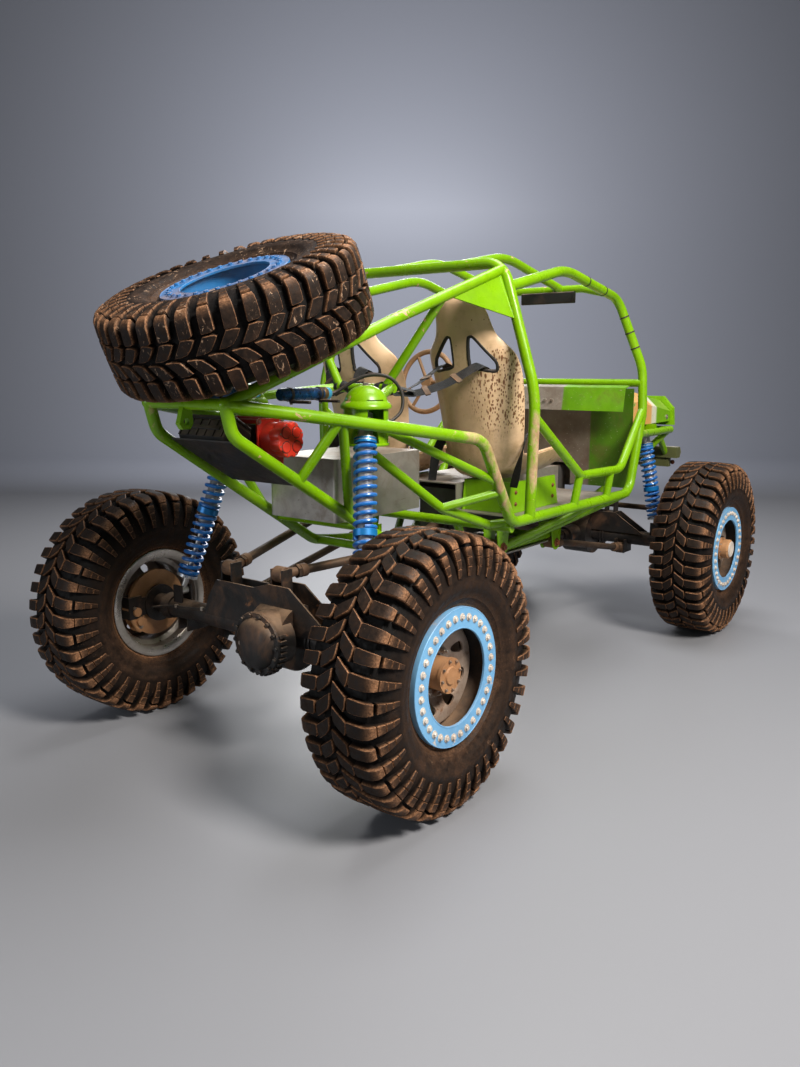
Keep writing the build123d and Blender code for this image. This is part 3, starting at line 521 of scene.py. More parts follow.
def tread_block(sh, rows, sign, shift, bevel=0.0022, top=1.0, draft=0.0025, wear=0.0):
    """rows: (u, left, right) across the block, the sides in pitches."""
    pw = 2 * math.pi * R0 / PITCHES

    def outline(inset):
        out = []
        for i, (u, l, r) in enumerate(rows):
            du = inset if i == 0 else (-inset if i == len(rows) - 1 else 0)
            half = max((r - l) / 2 - inset / pw, 0.01)
            mid = (l + r) / 2
            out.append((u + du, mid - half, mid + half))
        return out

    def pt(u, t, h):
        return tread_point(u * sign, t + shift, h)

    d0 = lerp_table(DEPTH, rows[0][0])
    eh = top - bevel / max(d0, 0.004)
    inner, edge, base = outline(bevel), outline(0), outline(-draft)
    verts, faces, attr = [], [], []
    n = len(rows)
    for (u, l, r) in inner:
        for q in (l, (l + r) / 2, r):
            verts.append(pt(u, q, top - wear))
            attr.append(lerp_table(TOP_DUST, u))
    for i in range(n - 1):
        for j in range(2):
            a = i * 3 + j
            faces.append((a, a + 1, a + 4, a + 3))
    ring_in = [i * 3 for i in range(n)] + [(n - 1) * 3 + 1] + [i * 3 + 2 for i in range(n - 1, -1, -1)] + [1]

    def ring(o):
        mid0, mid1 = (o[0][1] + o[0][2]) / 2, (o[-1][1] + o[-1][2]) / 2
        return [(u, l) for u, l, r in o] + [(o[-1][0], mid1)] + [(u, r) for u, l, r in o[::-1]] + [(o[0][0], mid0)]
    k = len(verts)
    re, rb = ring(edge), ring(base)
    # the eased edge ring of each block: dusty tan brightened as a painted highlight
    for u, t in re:
        verts.append(pt(u, t, eh))
        attr.append(max(0.85, lerp_table(TOP_DUST, u)))
    # the base ring below the groove floor: painted shade at the foot of each block
    for u, t in rb:
        verts.append(pt(u, t, -0.06))
        attr.append(-0.9 if u < 0.19 else -0.55)
    m = len(ring_in)
    for i in range(m):
        j = (i + 1) % m
        faces.append((ring_in[i], k + i, k + j, ring_in[j]))
        faces.append((k + i, k + m + i, k + m + j, k + j))
    if sign > 0:
        faces = [f[::-1] for f in faces]
    sh.add(verts, faces, 0, False, attr)


# rows: distance round from the middle, left side, right side (in pitches)
SHOULDER = ((0.0640, -0.17, 0.22), (0.0700, -0.20, 0.375), (0.098, -0.165, 0.405), (0.126, -0.135, 0.41), (0.148, -0.12, 0.41), (0.162, -0.11, 0.40), (0.176, -0.09, 0.375))
SHOULDER_SHORT = ((0.0680, -0.17, 0.22), (0.0740, -0.20, 0.375), (0.098, -0.165, 0.405), (0.126, -0.135, 0.41), (0.142, -0.125, 0.41), (0.154, -0.115, 0.40), (0.166, -0.10, 0.38))
INNER = ((0.0040, -0.70, -0.30), (0.0095, -0.655, -0.04), (0.031, -0.455, 0.20), (0.052, -0.255, 0.40), (0.0585, -0.20, 0.16))
INNER_CUT = ((0.0075, -0.68, -0.34), (0.0130, -0.63, -0.06), (0.031, -0.465, 0.18), (0.054, -0.245, 0.40), (0.0615, -0.18, 0.12))
RIBS = (((0.1800, -0.085, 0.365), (0.196, -0.07, 0.355), (0.212, -0.055, 0.34)), ((0.2155, -0.05, 0.335), (0.230, -0.035, 0.325), (0.2445, -0.02, 0.31)), ((0.248, -0.015, 0.305), (0.263, 0.0, 0.29), (0.281, 0.025, 0.265)))


def tyre_mesh():
    sh = Shape()
    n = 160
    us = [LEN[-1] * i / 46 for i in range(47)]
    prof = []
    for sign in (-1, 1):
        for u in (us[::-1] if sign < 0 else us[1:]):
            s, r, ns, nr = skin(u * sign if u else 0.0)
            k = lerp_table(DEPTH, u)
            if 0.318 < u < 0.334:
                k = -0.0022
            if 0.366 < u < 0.376:
                k = -0.003
            # carcass attribute: negative under the tread is painted shade on the groove floors, positive on the
            # sidewall is dusty rubber
            prof.append((s - ns * k, r - nr * k, lerp_table(((0.17, -0.95), (0.21, -0.6), (0.275, -0.15), (0.30, 0.16), (0.335, 0.10), (0.375, 0.24), (0.396, 0.35), (0.40, 0.95)), u)))
    prof = [(-0.084, 0.222, 0.5), (-0.110, 0.222, 0.5)] + prof + [(0.110, 0.222, 0.5), (0.084, 0.222, 0.5)]
    rows, attr = [], []
    for s, r, d in prof:
        rows.append([(r * math.sin(2 * math.pi * j / n), s, r * math.cos(2 * math.pi * j / n)) for j in range(n)])
        attr += [d] * n
    sh.grid([row[::-1] for row in rows], 0, True, wrap_v=True, attr=attr)
    rnd = random.Random(5)
    for sign in (-1, 1):
        for i in range(PITCHES):
            shift = i + (0.5 if sign < 0 else 0.0)
            tread_block(sh, SHOULDER if i % 2 else SHOULDER_SHORT, sign, shift, wear=rnd.random() * 0.05)
            tread_block(sh, INNER_CUT if i % 2 else INNER, sign, shift, wear=rnd.random() * 0.05)
            for rib in RIBS:
                tread_block(sh, rib, sign, shift, bevel=0.0018, draft=0.0015)
    return sh.mesh("tyre_tread", [tyre_mat], 32, "dust_and_painted_light")


# ------------------------------------------------------------------ rim with clamp ring
def rim_mesh():
    sh = Shape()      # local z is outward here; turned to y on use
    turn = Matrix.Rotation(math.radians(-90), 4, "X")
    # clamp ring
    sh.revolve([(0.129, 0.2060), (0.129, 0.1738), (0.1302, 0.1724), (0.1375, 0.1722), (0.139, 0.1738), (0.139, 0.1765),
                (0.1378, 0.1780), (0.1378, 0.2440), (0.139, 0.2455), (0.139, 0.2470), (0.1375, 0.2485), (0.118, 0.2485), (0.112, 0.246)], turn, 128, 0)
    for i in range(32):
        a = 2 * math.pi * (i + 0.5) / 32
        c = Vector((0.2135 * math.cos(a), 0.2135 * math.sin(a), 0.1375))
        sh.bolt(turn @ c, turn.to_3x3() @ Vector((0, 0, 1)), 0.0092, 0.0072, 4, True, i * 1.3)
    # barrel: outboard well, step, inboard well and rear lip
    # the outboard well takes the dark barrel colour as painted shade; the inboard well is bare silver
    sh.revolve([(0.129, 0.1990), (0.112, 0.2000), (0.104, 0.2040), (0.050, 0.2055), (0.040, 0.2005), (0.034, 0.1835), (0.026, 0.1800)], turn, 96, 2)
    sh.revolve([(0.026, 0.1800), (-0.052, 0.1800), (-0.060, 0.1830), (-0.070, 0.2030), (-0.080, 0.2060), (-0.112, 0.2065), (-0.116, 0.2120), (-0.118, 0.2440), (-0.1215, 0.2480), (-0.124, 0.2450), (-0.124, 0.2160), (-0.122, 0.2130)], turn, 96, 5)
    # dished centre with eight windows
    DISH = ((0.1000, 0.0300), (0.1080, 0.0350), (0.1380, 0.0610), (0.1460, 0.0650), (0.1790, 0.0680))

    def cone(r):
        return lerp_table(DISH, r)
    for k in range(8):
        a0 = math.radians(45 * k + 7)
        n = 48
        wr, rc = 0.0205, 0.1340
        per = []
        for i in range(n):
            t = i / n * 4
            side, q = int(t), t - int(t)
            lo, hi, w = 0.0995, 0.1785, math.radians(22.5)
            if side == 0:
                per.append((lo + (hi - lo) * q, w))
            elif side == 1:
                per.append((hi, w - 2 * w * q))
            elif side == 2:
                per.append((hi - (hi - lo) * q, -w))
            else:
                per.append((lo, -w + 2 * w * q))
        rings = []
        for depth in (0.0, -0.009):
            levels = [[], [], [], []]
            for r, a in per:
                ang = math.atan2(r * math.sin(a), r * math.cos(a) - rc)
                # a rounded window, wider towards the rim
                swell = 1.0 + 0.16 * math.cos(ang)
                for rr, lst in ((wr, levels[3]), (wr + 0.004, levels[2])):
                    px, py = rc + rr * math.cos(ang), rr * swell * 1.12 * math.sin(ang)
                    pr, pa = math.hypot(px, py), math.atan2(py, px)
                    lst.append((pr * math.cos(a0 + pa), pr * math.sin(a0 + pa), cone(pr) + depth - (0.0014 if lst is levels[3] and depth == 0 else 0)))
                px, py = levels[2][-1][0], levels[2][-1][1]
                ox, oy = r * math.cos(a0 + a), r * math.sin(a0 + a)
                mx_, my_ = (px + ox) / 2, (py + oy) / 2
                levels[1].append((mx_, my_, cone(math.hypot(mx_, my_)) + depth))
                levels[0].append((ox, oy, cone(r) + depth))
            rings.append(levels)
        top, bot = rings
        sh.grid([*top, *bot[::-1]], 3, True, wrap_v=True, mx=turn)
    sh.revolve([(0.0302, 0.1003), (0.0310, 0.0960), (0.0310, 0.0670), (0.0295, 0.0655), (0.0205, 0.0655), (0.0205, 0.0960), (0.0212, 0.1003)], turn, 64, 3)
    sh.revolve([(0.0680, 0.1780), (0.0670, 0.1830), (0.0630, 0.1865), (0.0560, 0.1880), (0.0500, 0.1990)], turn, 96, 3)
    for i in range(8):
        a = math.radians(45 * i + 29)
        c = Vector((0.0825 * math.cos(a), 0.0825 * math.sin(a), 0.0308))
        sh.bolt(turn @ c, turn.to_3x3() @ Vector((0, 0, 1)), 0.0110, 0.017, 1, True, i * 0.9, 0.010)
    return sh.mesh("rim_parts", [ring_blue, zinc, rim_painted_shade, rim_steel, pale_metal, rim_silver], 35)


def wheel_matrix(centre, out, up):
    out, up = Vector(out).normalized(), Vector(up).normalized()
    x = out.cross(up)
    m = Matrix((x, out, up)).transposed().to_4x4()
    m.translation = Vector(centre)
    return m


WHEELS = (
    ("rear_left", P(0, TRACK, AXLE_Z), (0, 1, 0), (0, 0, 1), "rear_left_wheel", 12),
    ("rear_right", P(0, -TRACK, AXLE_Z), (0, -1, 0), (0, 0, 1), "rear_right_wheel", -23),
    ("front_left", Vector((FX, TRACK, AXLE_Z)), (0, 1, 0), (0, 0, 1), "front_left_wheel", 41),
    ("front_right", Vector((FX, -TRACK, AXLE_Z)), (0, -1, 0), (0, 0, 1), "front_right_wheel", 5),
    ("spare", P(-0.106, 0, 1.768), (-math.sin(TILT), 0, math.cos(TILT)), (math.cos(TILT), 0, math.sin(TILT)), "chassis", 0),
)
tyre_data = tyre_mesh()
rim_data = rim_mesh()
kit = Shape()
for name, centre, out, up, body, spin in WHEELS:
    mx = wheel_matrix(centre, out, up)
    turned = Matrix.Rotation(math.radians(spin), 4, "Y")
    flip = Matrix.Rotation(math.pi if name.endswith("left") else 0.0, 4, "Z")
    own_tyre, own_rim = tyre_data.copy(), rim_data.copy()
    own_tyre.transform(turned @ flip)
    own_rim.transform(turned)
    if name == "spare":
        own_tyre.materials[0] = spare_mat
        own_rim.materials[0] = ring_deep
        own_rim.materials[2] = ring_deep
        own_rim.materials[4] = ring_deep
    kit.make(name + "_tread", body, None, [name + "_tyre"], "tyre", matrix=mx, data=own_tyre)
    kit.make(name + "_wheel_rim", body, None, [name + "_rim"], "rim_steel", matrix=mx, data=own_rim)
    if name != "spare":
        hub = Shape()
        front = name.startswith("front")
        o = Vector(out)
        nose = 0.109
        for i in range(8):
            a = math.radians(45 * i + 10)
            c = Vector(centre) + o * nose + Vector((math.cos(a), 0, math.sin(a))) * 0.054
            hub.bolt(c - o * (0.0005 if not front else 0.0005), o, 0.0062, 0.0070, 0, False, i, 0.003)
        if front:
            # locking dial on the end of the hub
            mx = look(Vector(centre) + o * 0.1545, o)
            hub.turned([(0, 0.0455), (0.0030, 0.0470), (0.0052, 0.0462), (0.0066, 0.0430), (0.0066, 0.0350), (0.0050, 0.0330)], mx, 40, 1)
            hub.box((-0.026, -0.006, 0.004), (0.026, 0.006, 0.0105), 1, 0.003, mx)
        hub.make(name + "_hub_bolts", body, [zinc, pale_metal], slot="hub_iron")

# ------------------------------------------------------------------ springs and dampers
def helix(sh, p0, p1, u0, u1, rad, wire, turns, mat=0, n=10, per=26, tail=1.0):
    """A coil from u0 to u1 along p0-p1, its end turns closed up."""
    mx = look(p0, Vector(p1) - Vector(p0))
    pts = []
    total = turns
    for i in range(int(total * per) + 1):
        t = i / per
        # end turns lie flat
        w = min(t / tail, 1.0, (total - t) / tail)
        pts.append((t, w))
    rise, acc = [], 0.0
    for i, (t, w) in enumerate(pts):
        rise.append(acc)
        acc += 0.28 + 0.72 * max(0.0, w)
    span = (u1 - u0) - wire * 2
    line = []
    for (t, w), h in zip(pts, rise):
        a = 2 * math.pi * t
        line.append(mx @ Vector((rad * math.cos(a), rad * math.sin(a), u0 + wire + span * h / rise[-1])))
    sh.tube(line, wire, n, mat)


coils, dampers = Shape(), Shape()
for fx, rows in ((False, ((0, 0.530, 0.592), (0.226, 0.350, 1.420))), (True, ((2.839, 0.505, 0.592), (2.839, 0.388, 1.204)))):
    for sgn in (-1, 1):
        a = P(rows[0][0], rows[0][1] * sgn, rows[0][2])
        b = P(rows[1][0], rows[1][1] * sgn, rows[1][2])
        length = (b - a).length
        ax = (b - a).normalized()
        mx = look(a, b - a)
        lo, hi, body0 = (0.066, 0.500, 0.240) if fx else (0.078, 0.724, 0.330)
        split = lo + (hi - lo) * (0.46 if not fx else 0.40)
        helix(coils, a, b, lo, split - 0.012, 0.0395, 0.0086, (split - lo) / 0.0335)
        helix(coils, a, b, split + 0.012, hi, 0.0395, 0.0086, (hi - split) / 0.0335)
        # slider between the two coils, lower perch, upper adjuster
        coils.revolve([(split - 0.014, 0.034), (split - 0.014, 0.045), (split - 0.012, 0.0468), (split + 0.012, 0.0468), (split + 0.014, 0.045), (split + 0.014, 0.034)], mx, 32, 1)
        coils.revolve([(lo - 0.013, 0.020), (lo - 0.013, 0.044), (lo - 0.011, 0.046), (lo - 0.002, 0.046), (lo, 0.0445), (lo, 0.020)], mx, 32, 1)
        coils.revolve([(hi, 0.031), (hi, 0.0435), (hi + 0.002, 0.045), (hi + 0.009, 0.045), (hi + 0.010, 0.0435), (hi + 0.0105, 0.042), (hi + 0.012, 0.0435), (hi + 0.013, 0.0445),
                       (hi + 0.020, 0.0445), (hi + 0.022, 0.043), (hi + 0.022, 0.031)], mx, 32, 1)
        # damper: polished shaft, threaded body, cap
        dampers.turned([(0.02, 0.0110), (body0 + 0.004, 0.0110)], mx, 20, 1)
        dampers.revolve([(body0 - 0.012, 0.0115), (body0 - 0.012, 0.024), (body0 - 0.006, 0.028), (body0, 0.029)], mx, 28, 0)
        thread = []
        h = body0
        while h < length - 0.095:
            thread += [(h, 0.0290), (h + 0.0022, 0.0302)]
            h += 0.0044
        dampers.revolve(thread + [(length - 0.095, 0.029), (length - 0.090, 0.031), (length - 0.050, 0.031), (length - 0.040, 0.026), (length - 0.030, 0.0165)], mx, 28, 0)
coils.make("coil_spring_set", "chassis", [spring_blue, collar_blue], ["coil_springs"], "spring_blue")
dampers.make("damper_set", "chassis", [damper, chrome], (), "damper_alloy")

# ------------------------------------------------------------------ soft curves
def spline(rows, n, closed=False):
    """Rows of numbers, resampled to n rows on a smooth curve through them."""
    m = len(rows)
    out = []
    for i in range(n):
        t = i / n * m if closed else i / (n - 1) * (m - 1)
        k = min(int(t), m - 1 if closed else m - 2)
        f = t - k

        def at(j):
            return rows[j % m] if closed else rows[max(0, min(m - 1, j))]
        p0, p1, p2, p3 = at(k - 1), at(k), at(k + 1), at(k + 2)
        out.append(tuple(0.5 * (2 * b + (c - a) * f + (2 * a - 5 * b + 4 * c - d) * f * f + (3 * b - a - 3 * c + d) * f ** 3)
                         for a, b, c, d in zip(p0, p1, p2, p3)))
    return out


def inside(poly, x, y):
    hit = False
    for (x0, y0), (x1, y1) in zip(poly, poly[1:] + poly[:1]):
        if (y0 > y) != (y1 > y) and x < (x1 - x0) * (y - y0) / (y1 - y0) + x0:
            hit = not hit
    return hit


def ribbon(sh, pts, width, thick, mat=0, side=(0, 1, 0)):
    """A flat strap along points."""
    pts = [Vector(p) for p in pts]
    rows = []
    for i, p in enumerate(pts):
        t = (pts[min(i + 1, len(pts) - 1)] - pts[max(i - 1, 0)]).normalized()
        s = Vector(side)
        s = (s - t * s.dot(t)).normalized()
        n = t.cross(s)
        w, h = s * width / 2, n * thick / 2
        e = s * thick * 0.5
        rows.append([p - w + e - h, p + w - e - h, p + w, p + w - e + h, p - w + e + h, p - w])
    sh.grid(rows, mat, True, wrap_v=True)
    sh.add(rows[0], [(5, 4, 3, 2, 1, 0)], mat)
    sh.add(rows[-1], [(0, 1, 2, 3, 4, 5)], mat)


def sheet_from(sh, rows, thick, keep=None, mat=0, back=None):
    """A skin of the given points made thick, with faces left out where keep says no."""
    nr, nc = len(rows), len(rows[0])
    R = [[Vector(p) for p in r] for r in rows]
    lower = []
    for i in range(nr):
        line = []
        for j in range(nc):
            du = R[min(i + 1, nr - 1)][j] - R[max(i - 1, 0)][j]
            dv = R[i][min(j + 1, nc - 1)] - R[i][max(j - 1, 0)]
            n = du.cross(dv).normalized()
            line.append(R[i][j] + n * thick)
        lower.append(line)
    verts = [p for r in R for p in r] + [p for r in lower for p in r]
    N = nr * nc
    faces, edges = [], {}
    for i in range(nr - 1):
        for j in range(nc - 1):
            if keep and not keep(i, j, (R[i][j] + R[i + 1][j + 1]) / 2):
                continue
            q = (i * nc + j, (i + 1) * nc + j, (i + 1) * nc + j + 1, i * nc + j + 1)
            faces.append(q[::-1])
            faces.append(tuple(N + k for k in q))
            for a, b in zip(q, q[1:] + q[:1]):
                edges[(a, b)] = edges.get((a, b), 0) + 1
    for (a, b) in list(edges):
        if (b, a) not in edges:
            faces.append((a, b, N + b, N + a))
    sh.add(verts, faces, mat)


# ------------------------------------------------------------------ seats
def seat_material(name, muddy):
    k = Mat(name)
    x, y, z = k.xyz()
    col = k.mix(k.ramp(k.noise(3.0, 5), 0.35, 0.7), lin(224, 190, 152), lin(204, 168, 130))
    col = k.mix(k.calc("MULTIPLY", k.ramp(k.noise(17, 7, 0.65), 0.5, 0.72), 0.5), col, lin(176, 144, 104))
    low = k.ramp(z, 1.45, 1.10)
    col = k.mix(k.calc("MULTIPLY", k.calc("MULTIPLY", low, k.ramp(k.noise(6, 7, 0.7), 0.35, 0.7)), 0.6), col, lin(150, 112, 76))
    rgh = k.ramp(k.noise(20, 5), 0.3, 0.7, 0.26, 0.5)
    nm = k.bump(k.noise(3.5, 2), 0.25, 0.01)
    if muddy:
        zone = k.calc("MULTIPLY", k.ramp(y, -0.20, -0.45), k.calc("MULTIPLY", k.ramp(z, 1.70, 1.60), k.ramp(z, 1.12, 1.42)))
        drops = k.ramp(k.cells(105, k.scaled(1.0, 1.0, 0.48)), 0.40, 0.26)
        big = k.ramp(k.cells(48, k.scaled(1.0, 1.0, 0.40)), 0.30, 0.20)
        f = k.calc("MULTIPLY", drops, k.ramp(k.calc("MULTIPLY", zone, k.noise(9, 6, 0.7)), 0.14, 0.34))
        f = k.calc("ADD", f, k.calc("MULTIPLY", big, k.ramp(k.calc("MULTIPLY", zone, k.noise(6.5, 5)), 0.24, 0.42)))
        far = k.calc("MULTIPLY", k.ramp(k.cells(30), 0.13, 0.09), k.ramp(k.noise(9, 3), 0.5, 0.6))
        f = k.calc("ADD", f, k.calc("MULTIPLY", far, 0.8))
        col = k.mix(f, col, k.mix(k.noise(30, 4), lin(92, 56, 32), lin(142, 96, 58)))
        rgh = k.calc("ADD", rgh, k.calc("MULTIPLY", f, 0.4))
        nm = k.bump(f, 0.5, 0.002, nm)
    k.set(Base_Color=col, Roughness=rgh, IOR=1.5)
    k.b.inputs["Coat Weight"].default_value = 0.25
    k.b.inputs["Coat Roughness"].default_value = 0.15
    k.link(nm, k.b.inputs["Normal"])
    return k.m


def webbing_material():
    k = Mat("webbing")
    w = k.nt.nodes.new("ShaderNodeTexWave")
    w.inputs["Scale"].default_value = 160
    w.inputs["Distortion"].default_value = 0.6
    k.link(k.co, w.inputs["Vector"])
    col = k.mix(k.ramp(k.noise(8, 6, 0.6), 0.45, 0.75), lin(11, 11, 12), lin(42, 35, 30))
    k.set(Base_Color=col, Roughness=k.ramp(k.noise(30), 0.3, 0.7, 0.6, 0.85))
    k.link(k.bump(w.outputs["Fac"], 0.35, 0.001), k.b.inputs["Normal"])
    return k.m


webbing = webbing_material()
# columns: x, z, half width, how far the sides come forward, from the head top to the front edge of the base
SEAT = ((0.990, 1.8735, 0.045, 0.002), (0.976, 1.866, 0.082, 0.006), (0.967, 1.843, 0.110, 0.016), (0.969, 1.80, 0.130, 0.028), (0.978, 1.745, 0.142, 0.040),
        (0.986, 1.70, 0.158, 0.050), (0.993, 1.66, 0.190, 0.064), (1.000, 1.622, 0.220, 0.080), (1.010, 1.575, 0.235, 0.098), (1.025, 1.50, 0.2375, 0.118),
        (1.043, 1.40, 0.232, 0.128), (1.061, 1.30, 0.222, 0.132), (1.077, 1.21, 0.212, 0.132), (1.096, 1.13, 0.206, 0.130), (1.130, 1.070, 0.208, 0.126),
        (1.190, 1.046, 0.214, 0.120), (1.28, 1.040, 0.222, 0.122), (1.39, 1.041, 0.226, 0.130), (1.50, 1.045, 0.228, 0.134), (1.585, 1.056, 0.226, 0.116), (1.640, 1.074, 0.216, 0.082), (1.668, 1.098, 0.202, 0.044))
SLOT = ((0.046, 1.690), (0.056, 1.703), (0.075, 1.698), (0.120, 1.648), (0.162, 1.598), (0.168, 1.566), (0.156, 1.550), (0.100, 1.556), (0.052, 1.566), (0.042, 1.588), (0.042, 1.640))


def make_seat(name, cy, back, drop, mat):
    rows = spline(SEAT, 132)
    n = len(rows)

    def surf(i, w):
        x, z, half, curl = rows[i]
        x0, z0 = rows[max(i - 1, 0)][:2]
        x1, z1 = rows[min(i + 1, n - 1)][:2]
        d = math.hypot(x1 - x0, z1 - z0)
        tx, tz = (x1 - x0) / d, (z1 - z0) / d
        if i < 4:
            tx, tz = 0.12, -0.99
        c = curl * abs(w) ** 2.7
        # shallow crease where the back meets the wings
        c += 0.006 * math.exp(-((abs(w) - 0.62) / 0.1) ** 2) * (1 if 1.15 < z < 1.6 else 0.3)
        return P(x + back - tz * c, cy + half * (1.1 * w - 0.1 * w ** 3), z + drop + tx * c)
    cols = 60
    grid = [[surf(i, -1 + 2 * j / (cols - 1)) for j in range(cols)] for i in range(n)]
    slots = [[(s * y, z) for y, z in SLOT] for s in (1, -1)]

    def keep(i, j, c):
        if rows[i][1] < 1.5 or i > n // 2:
            return True
        return not any(inside(p, c.y - cy, c.z - drop) for p in slots)
    sh = Shape()
    sheet_from(sh, grid, -0.010, keep, 0)
    # soft edging round the slots and the rim of the shell
    for s in (1, -1):
        line = []
        for y, z in spline(SLOT, 60, True):
            i = min(range(n // 2), key=lambda q: abs(rows[q][1] - z))
            lo, hi = -1.0, 1.0
            for _ in range(30):
                mid = (lo + hi) / 2
                if rows[i][2] * (1.1 * mid - 0.1 * mid ** 3) < s * y:
                    lo = mid
                else:
                    hi = mid
            p = surf(i, lo)
            line.append(Vector((p.x - 0.004, p.y, z + drop)))
        line.append(line[0])
        sh.tube(line, 0.0085, 10, 1)
    rim = [grid[i][0] for i in range(n - 1, 0, -1)] + [grid[0][j] for j in range(cols)] + [grid[i][-1] for i in range(1, n)]
    fat = [rim[k] for k in range(0, len(rim), 2)]
    sh.tube(fat, 0.0075, 8, 2)
    sh.make(name + "_shell", "chassis", [mat, rubber, mat], [name], "seat_shell", sharp=50)


make_seat("right_seat", -0.272, 0.0, 0.0, seat_material("seat_gel_muddy", True))
make_seat("left_seat", 0.290, -0.150, -0.016, seat_material("seat_gel", False))

# harness straps through the slots to the bar behind the seats, with slides
straps = Shape()
# rows: seat centre, setback, drop, the two bar positions
for cy, back, drop, bars in ((-0.272, 0.0, 0.0, (-0.088, -0.158)), (0.290, -0.150, -0.016, (0.158, 0.088))):
    for s, y1 in zip((1, -1), bars):
        y0 = cy + s * 0.104
        way = spline(((1.176 + back, y0, 1.30 + drop), (1.128 + back, y0, 1.44 + drop), (1.070 + back, y0, 1.545 + drop), (1.008 + back, y0, 1.577 + drop),
                      (0.955 + back, y0 + (y1 - y0) * 0.14, 1.552 + drop), (0.85 + back * 0.7, y0 + (y1 - y0) * 0.42, 1.492 + drop * 0.6), (0.74 + back * 0.3, y0 + (y1 - y0) * 0.82, 1.452), (0.66, y1, 1.4525),
                      (0.622, y1, 1.4545), (0.598, y1, 1.474), (0.618, y1, 1.498), (0.66, y1, 1.484), (0.74 + back * 0.3, y0 + (y1 - y0) * 0.80, 1.462)), 72)
        # the flat of the strap leans towards the back where it hangs free
        ribbon(straps, [P(*q) for q in way], 0.052, 0.003, 0, (0.0, 1.0, 0.36 * -s if s < 0 else -0.30))
        for i in (27, 33):
            p, q = P(*way[i]), P(*way[i + 1])
            t = (q - p).normalized()
            across = Vector((0.0, 1.0, 0.36 * -s if s < 0 else -0.30))
            across = (across - t * across.dot(t)).normalized()
            n = t.cross(across)
            mx = look(p - n * 0.004, n, across)
            straps.slab([(-0.031, -0.013), (0.031, -0.013), (0.034, -0.009), (0.034, 0.009), (0.031, 0.013), (-0.031, 0.013), (-0.034, 0.009), (-0.034, -0.009)], 0.008, mx, 1)
    # lap belt ends beside the seat base
    for s in (1, -1):
        y = cy + s * 0.232
        lap = spline(((1.10 + back, y, 1.02 + drop), (1.15 + back, y + s * 0.006, 1.16 + drop), (1.22 + back, y - s * 0.01, 1.235 + drop), (1.31 + back, y - s * 0.07, 1.225 + drop), (1.38 + back, y - s * 0.13, 1.15 + drop)), 26)
        ribbon(straps, [P(*q) for q in lap], 0.046, 0.003, 0, (0.3, 0.2 * s, 1))
straps.make("harness_straps", "chassis", [webbing, steel], (), "black_plastic", sharp=30)

# ------------------------------------------------------------------ winch
winch = Shape()
WX, WZ = -0.062, 1.300


def wy(y):
    return look(P(WX, y, WZ), (0, -1, 0), (0, 0, 1))


# right gear case: scalloped red cover with four raised rounds
def lobed(y0, y1, r, lobes, depth, mat, n=96, ease=0.006):
    rows = []
    for h, q in ((0, r - ease), (0.002, r - 0.002), (ease, r), (y1 - y0 - ease, r), (y1 - y0 - 0.002, r - 0.002), (y1 - y0, r - ease)):
        ring = []
        for j in range(n):
            a = 2 * math.pi * j / n
            rr = q - depth * (0.5 + 0.5 * math.cos(lobes * a)) ** 3
            ring.append((rr * math.cos(a), rr * math.sin(a), h))
        rows.append(ring)
    mx = look(P(WX, -y0, WZ), (0, -1, 0), (0, 0, 1))
    winch.grid(rows, mat, True, wrap_v=True, mx=mx)
    winch.add(rows[-1], [list(range(n))], mat, True, None, mx)
    winch.add(rows[0], [list(range(n))[::-1]], mat, True, None, mx)


lobed(0.176, 0.230, 0.069, 8, 0.007, 0)
cap = wy(-0.2295)
for i in range(4):
    a = math.radians(45 + 90 * i)
    c = cap @ Matrix.Translation((0.0385 * math.cos(a), 0.0385 * math.sin(a), 0))
    winch.turned([(-0.001, 0.0235), (0.0006, 0.0235)], c, 28, 1)
    winch.turned([(-0.003, 0.0205), (0.0022, 0.0205), (0.0036, 0.0190)], c, 28, 0)
winch.turned([(-0.003, 0.017), (0.0015, 0.017), (0.003, 0.0155)], cap, 24, 0)
for i in range(8):
    a = math.radians(22.5 + 45 * i)
    winch.bolt(cap @ Vector((0.0605 * math.cos(a), 0.0605 * math.sin(a), -0.0012)), (0, -1, 0), 0.0036, 0.003, 3, False, i)
winch.turned([(0, 0.060), (0.004, 0.063), (0.030, 0.063), (0.056, 0.058)], wy(-0.122), 40, 0)
# drum with rope lying in turns, flanges
winch.turned([(0, 0.031), (0.226, 0.031)], wy(0.113), 28, 3)
for y in (0.110, -0.104):
    winch.turned([(0, 0.060), (0.001, 0.0615), (0.005, 0.0615), (0.006, 0.060)], wy(y), 40, 1)
rope = []
for layer, rad, lo, hi in ((0, 0.0365, 0.100, -0.100), (1, 0.0455, -0.096, 0.096), (2, 0.0540, 0.090, 0.010)):
    turns = int(abs(hi - lo) / 0.0105)
    for i in range(turns * 14 + 1):
        a = 2 * math.pi * i / 14
        y = lo + (hi - lo) * i / (turns * 14)
        rope.append(P(WX + rad * math.cos(a), y, WZ + rad * math.sin(a)))
winch.tube(rope, 0.0050, 7, 2)
# left motor with ribs and end bell
prof = [(0, 0.050), (0.004, 0.056)]
for i in range(6):
    h = 0.008 + i * 0.012
    prof += [(h, 0.056), (h + 0.0015, 0.060), (h + 0.0065, 0.060), (h + 0.008, 0.056)]
prof += [(0.086, 0.056), (0.090, 0.062), (0.104, 0.062), (0.109, 0.056)]
winch.turned(prof, look(P(WX, 0.118, WZ), (0, 1, 0), (0, 0, 1)), 40, 1)
